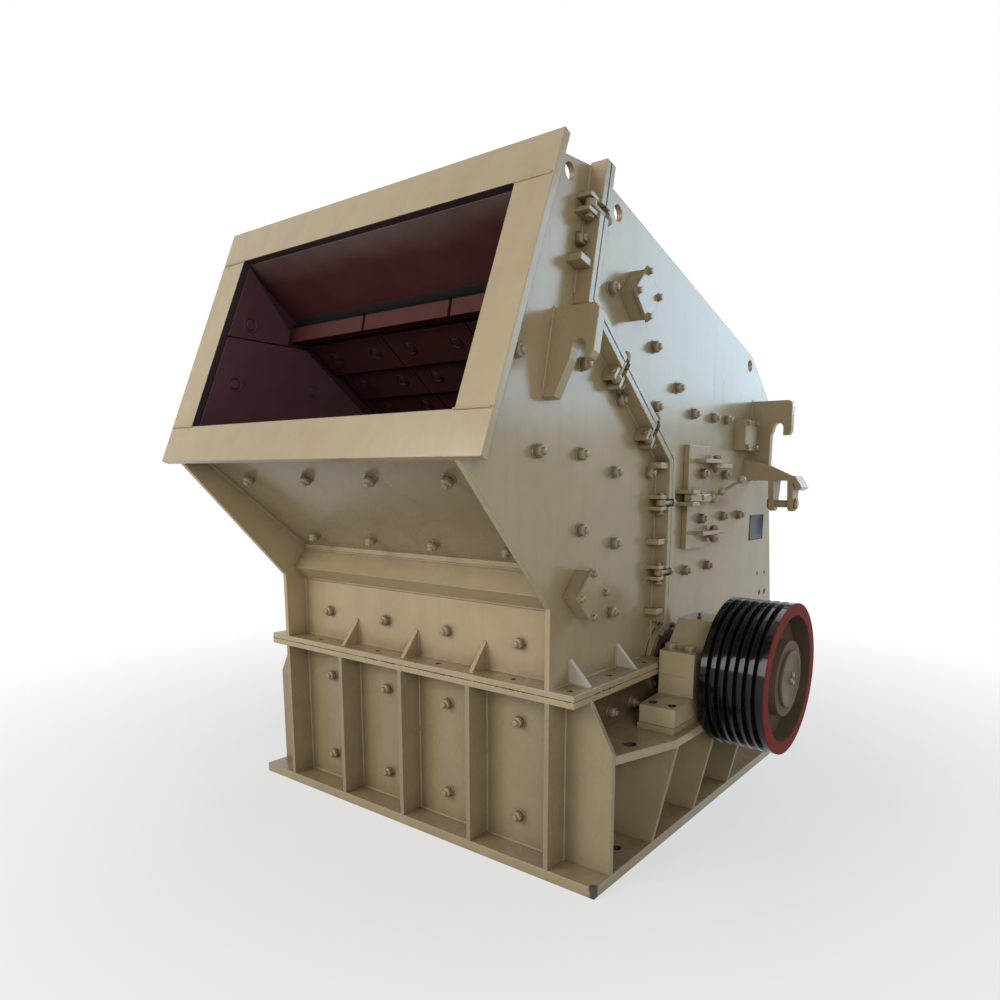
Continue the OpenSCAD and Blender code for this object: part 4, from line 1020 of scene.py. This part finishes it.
def weld_ripple():
    """One ripple of a fillet weld, longer than its pitch so that the next one overlaps it."""
    clear_selection()
    bpy.ops.mesh.primitive_uv_sphere_add(segments=6, ring_count=4, radius=1)
    made = settle(bpy.context.object, "weld_ripple")
    pick_faces(made, lambda f: f.center.x > 0.2)
    bpy.ops.transform.translate(value=(0.15, 0, 0))
    bpy.ops.transform.resize(value=(1, 0.88, 0.88))
    bpy.ops.object.mode_set(mode="OBJECT")
    made.scale = (0.0085, 0.0075, 0.0065)
    made = settle(made, "weld_ripple")
    bpy.ops.object.shade_smooth()
    return made


ripple = weld_ripple()
RIPPLE_PITCH = 0.011


def bead(start, end):
    """A run of ripples from start to end."""
    run = Vector(end) - Vector(start)
    one = ripple.copy()
    one.data = ripple.data.copy()
    bpy.context.collection.objects.link(one)
    only(one)
    row = one.modifiers.new("row", "ARRAY")
    row.use_relative_offset = False
    row.use_constant_offset = True
    row.constant_offset_displace = (RIPPLE_PITCH, 0, 0)
    row.count = max(2, int(run.length / RIPPLE_PITCH))
    bpy.ops.object.modifier_apply(modifier=row.name)
    one.data.transform(Matrix.Translation(start) @ run.to_track_quat("X", "Z").to_matrix().to_4x4())
    return one


def mirrored(runs):
    """The runs and their likenesses on the other side of the middle plane."""
    flip = Vector((-1, 1, 1))
    return runs + [(Vector(a) * flip, Vector(b) * flip) for a, b in runs]


RIB_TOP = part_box("base_ribs")[1].z
RIB_HALF, GUSSET_HALF = 0.011, 0.0125
RIBS = [-0.814, -0.407, 0.0, 0.407, 0.814]
FRONT_GUSSET_TALL, SIDE_GUSSET_TALL, SIDE_GUSSET_WIDE = 0.120, 0.100, 0.094
SIDE_GUSSETS = (FRONT_Y + 0.140, FRONT_Y + 0.500)
SEAL_Y = -0.50
CHUTE_LEN = 0.722
HOOK_TOP, HOOK_LEN, HOOK_THICK = Vector((SIDE_X, -1.208, 2.159)), 0.313, 0.040
MITRE = 0.016
frame_runs = []
for side in (1, -1):
    y = side * abs(WALL_Y)
    for x in RIBS:
        frame_runs += [((x + k * RIB_HALF, y, FOOT_TOP), (x + k * RIB_HALF, y, RIB_TOP)) for k in (1, -1)]
    for a, b in zip(RIBS, RIBS[1:]):
        frame_runs.append(((a + RIB_HALF, y, FOOT_TOP), (b - RIB_HALF, y, FOOT_TOP)))
for x in RIBS[1:4]:
    for face in (x + RIB_HALF, x - RIB_HALF):
        foot = (face, WALL_Y, JOINT_TOP)
        frame_runs += [(foot, (face, WALL_Y, JOINT_TOP + FRONT_GUSSET_TALL)),
                       (foot, (face, FRONT_Y + 0.024, JOINT_TOP))]
frame_runs.append(((-INNER_X, WALL_Y, JOINT_TOP), (INNER_X, WALL_Y, JOINT_TOP)))
knee_low, knee_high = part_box("knee_beam")
frame_runs += [((-INNER_X, WALL_Y, z), (INNER_X, WALL_Y, z)) for z in (knee_low.z, knee_high.z)]
inner_edge = Vector((INNER_X, 0, 0))
right_runs = [((SIDE_X, FRONT_Y + 0.01, JOINT_TOP), (SIDE_X, SEAL_Y, JOINT_TOP)),
              ((SIDE_X, WALL_Y, FOOT_TOP), (SIDE_X, -WALL_Y, FOOT_TOP)),
              ((INNER_X, WALL_Y, JOINT_TOP), (INNER_X, WALL_Y, knee_low.z)),
              (CHUTE_FOOT + inner_edge, CHUTE_FOOT + CHUTE_UP * CHUTE_LEN + inner_edge)]
for s in (FEED_BAR, FEED_LEN - FEED_BAR):
    at = FEED_LOW + FEED_UP * s
    right_runs.append((at + Vector((MOUTH_X, 0, 0)), at + Vector((MOUTH_X + FEED_BAR, 0, 0))))
gusset_low, gusset_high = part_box("bearing_gussets")
for y in (gusset_low.y + GUSSET_HALF, (gusset_low.y + gusset_high.y) / 2, gusset_high.y - GUSSET_HALF):
    right_runs += [((SIDE_X, face, FOOT_TOP), (SIDE_X, face, gusset_high.z))
                   for face in (y + GUSSET_HALF, y - GUSSET_HALF)]
for y in SIDE_GUSSETS:
    for face in (y + RIB_HALF, y - RIB_HALF):
        foot = (SIDE_X, face, JOINT_TOP)
        right_runs += [(foot, (SIDE_X, face, JOINT_TOP + SIDE_GUSSET_TALL)),
                       (foot, (SIDE_X + SIDE_GUSSET_WIDE, face, JOINT_TOP))]
hook_down = (PART_LINE[1] - PART_LINE[0]).normalized() * HOOK_LEN
hook_back = square_to(PART_LINE[0], PART_LINE[1]) * HOOK_THICK
right_runs += [(HOOK_TOP, HOOK_TOP + hook_down), (HOOK_TOP + hook_back, HOOK_TOP + hook_back + hook_down)]
rear_runs = [((SIDE_X, y, 2.014), (SIDE_X, y, 1.661)) for y in (0.715, 0.755)]
rear_runs += [((SIDE_X, 0.629, z), (SIDE_X, 0.749, z)) for z in (1.580, 1.606)]
edge = Vector((SIDE_X, 0, 0))
for upper, lower in zip(PART_LINE, PART_LINE[1:]):
    out = square_to(upper, lower) * FLANGE_FACE
    trim = (lower - upper).normalized() * MITRE
    right_runs.append((upper + edge - out + trim, lower + edge - out - trim))
    rear_runs.append((upper + edge + out + trim, lower + edge + out - trim))
dress(joined([bead(Vector(a), Vector(b)) for a, b in frame_runs + mirrored(right_runs)], "frame_welds"),
      "frame", weld_paint)
dress(joined([bead(Vector(a), Vector(b)) for a, b in mirrored(rear_runs)], "rear_casing_welds"),
      "rear_casing", weld_paint)
bpy.data.objects.remove(ripple)


# studio
def seen_plainly(tree):
    """1 for what the camera sees, straight or in a shiny or clear surface."""
    path = shader_node(tree, "ShaderNodeLightPath")
    return larger(tree, path.outputs["Is Camera Ray"],
                  larger(tree, path.outputs["Is Glossy Ray"], path.outputs["Is Transmission Ray"]))


def blend(tree, share, first, second, target):
    """Shader that goes from the first to the second as share goes from 0 to 1."""
    both = shader_node(tree, "ShaderNodeMixShader")
    for source, socket in zip((share, first, second), both.inputs):
        join_up(tree, source, socket)
    join_up(tree, both.outputs["Shader"], target.inputs["Surface"])


def studio():
    scene = bpy.context.scene
    scene.view_settings.view_transform = "Standard"
    world = bpy.data.worlds.new("studio")
    scene.world = world
    world.use_nodes = True
    tree = world.node_tree
    light = tree.nodes["Background"]
    light.inputs["Color"].default_value = (0.97, 0.985, 1, 1)
    light.inputs["Strength"].default_value = 0.22
    white = shader_node(tree, "ShaderNodeBackground")
    white.inputs["Strength"].default_value = 1.0
    white.inputs["Color"].default_value = (1, 1, 1, 1)
    blend(tree, seen_plainly(tree), light.outputs["Background"], white.outputs["Background"],
          tree.nodes["World Output"])

    clear_selection()
    bpy.ops.mesh.primitive_circle_add(vertices=96, radius=14, fill_type="NGON", location=(0, 0, 0))
    floor = bpy.context.object
    floor.name = "floor"
    surface = bpy.data.materials.new("pale_floor")
    surface.use_nodes = True
    tree = surface.node_tree
    shader = tree.nodes["Principled BSDF"]
    shader.inputs["Base Color"].default_value = (0.6, 0.6, 0.59, 1)
    shader.inputs["Roughness"].default_value = 0.9
    shader.inputs["Specular IOR Level"].default_value = 0.1
    where = shader_node(tree, "ShaderNodeTexCoord")
    reach = shader_node(tree, "ShaderNodeVectorMath", operation="LENGTH")
    join_up(tree, where.outputs["Object"], reach.inputs[0])
    far = plus(tree, times(tree, ramp(tree, reach.outputs["Value"], 1.8, 4.6), 0.4), 0.6)
    glow = shader_node(tree, "ShaderNodeEmission")
    blend(tree, times(tree, far, seen_plainly(tree)), shader.outputs["BSDF"], glow.outputs["Emission"],
          tree.nodes["Material Output"])
    floor.data.materials.append(surface)

    def lamp(name, at, target, size, power, colour):
        data = bpy.data.lights.new(name, "AREA")
        data.shape = "RECTANGLE"
        data.size, data.size_y = size
        data.energy = power
        data.color = colour
        made = bpy.data.objects.new(name, data)
        scene.collection.objects.link(made)
        made.location = at
        made.rotation_euler = (Vector(target) - Vector(at)).to_track_quat("-Z", "Y").to_euler()

    lamp("open_front", (-2.6, -6.8, 4.0), (0, -0.8, 1.2), (4.5, 3.5), 280, (1, 0.985, 0.96))
    lamp("open_right", (5.2, -5.4, 3.2), (0.8, -0.6, 1.2), (3.0, 3.0), 135, (1, 0.985, 0.96))
    lamp("window_behind", (3.3, 3.8, 3.4), (0.8, -0.2, 2.1), (3.8, 2.2), 108, (0.52, 0.77, 1))
    lamp("overhead", (-0.8, 2.6, 6.0), (0, 0, 1.2), (3.5, 3.5), 75, (1, 1, 1))


def photo_camera():
    """Camera at the photograph's place, heading, pitch and roll."""
    heading, pitch, roll = 0.6311, -0.1666, -0.0095
    level = math.cos(pitch)
    forward = Vector((-math.sin(heading) * level, math.cos(heading) * level, math.sin(pitch)))
    right = forward.cross(Vector((0, 0, 1))).normalized()
    down = forward.cross(right)
    across = right * math.cos(roll) + down * math.sin(roll)
    below = down * math.cos(roll) - right * math.sin(roll)
    data = bpy.data.cameras.new("photo")
    made = bpy.data.objects.new("photo", data)
    bpy.context.scene.collection.objects.link(made)
    turn = Matrix((across, -below, -forward)).transposed().to_4x4()
    made.matrix_world = Matrix.Translation((2.3945, -3.4031, 1.5623)) @ turn
    data.sensor_width = 36
    data.lens = 26.49
    data.shift_x = -0.0429
    data.shift_y = 0.1055
    bpy.context.scene.camera = made


studio()
photo_camera()
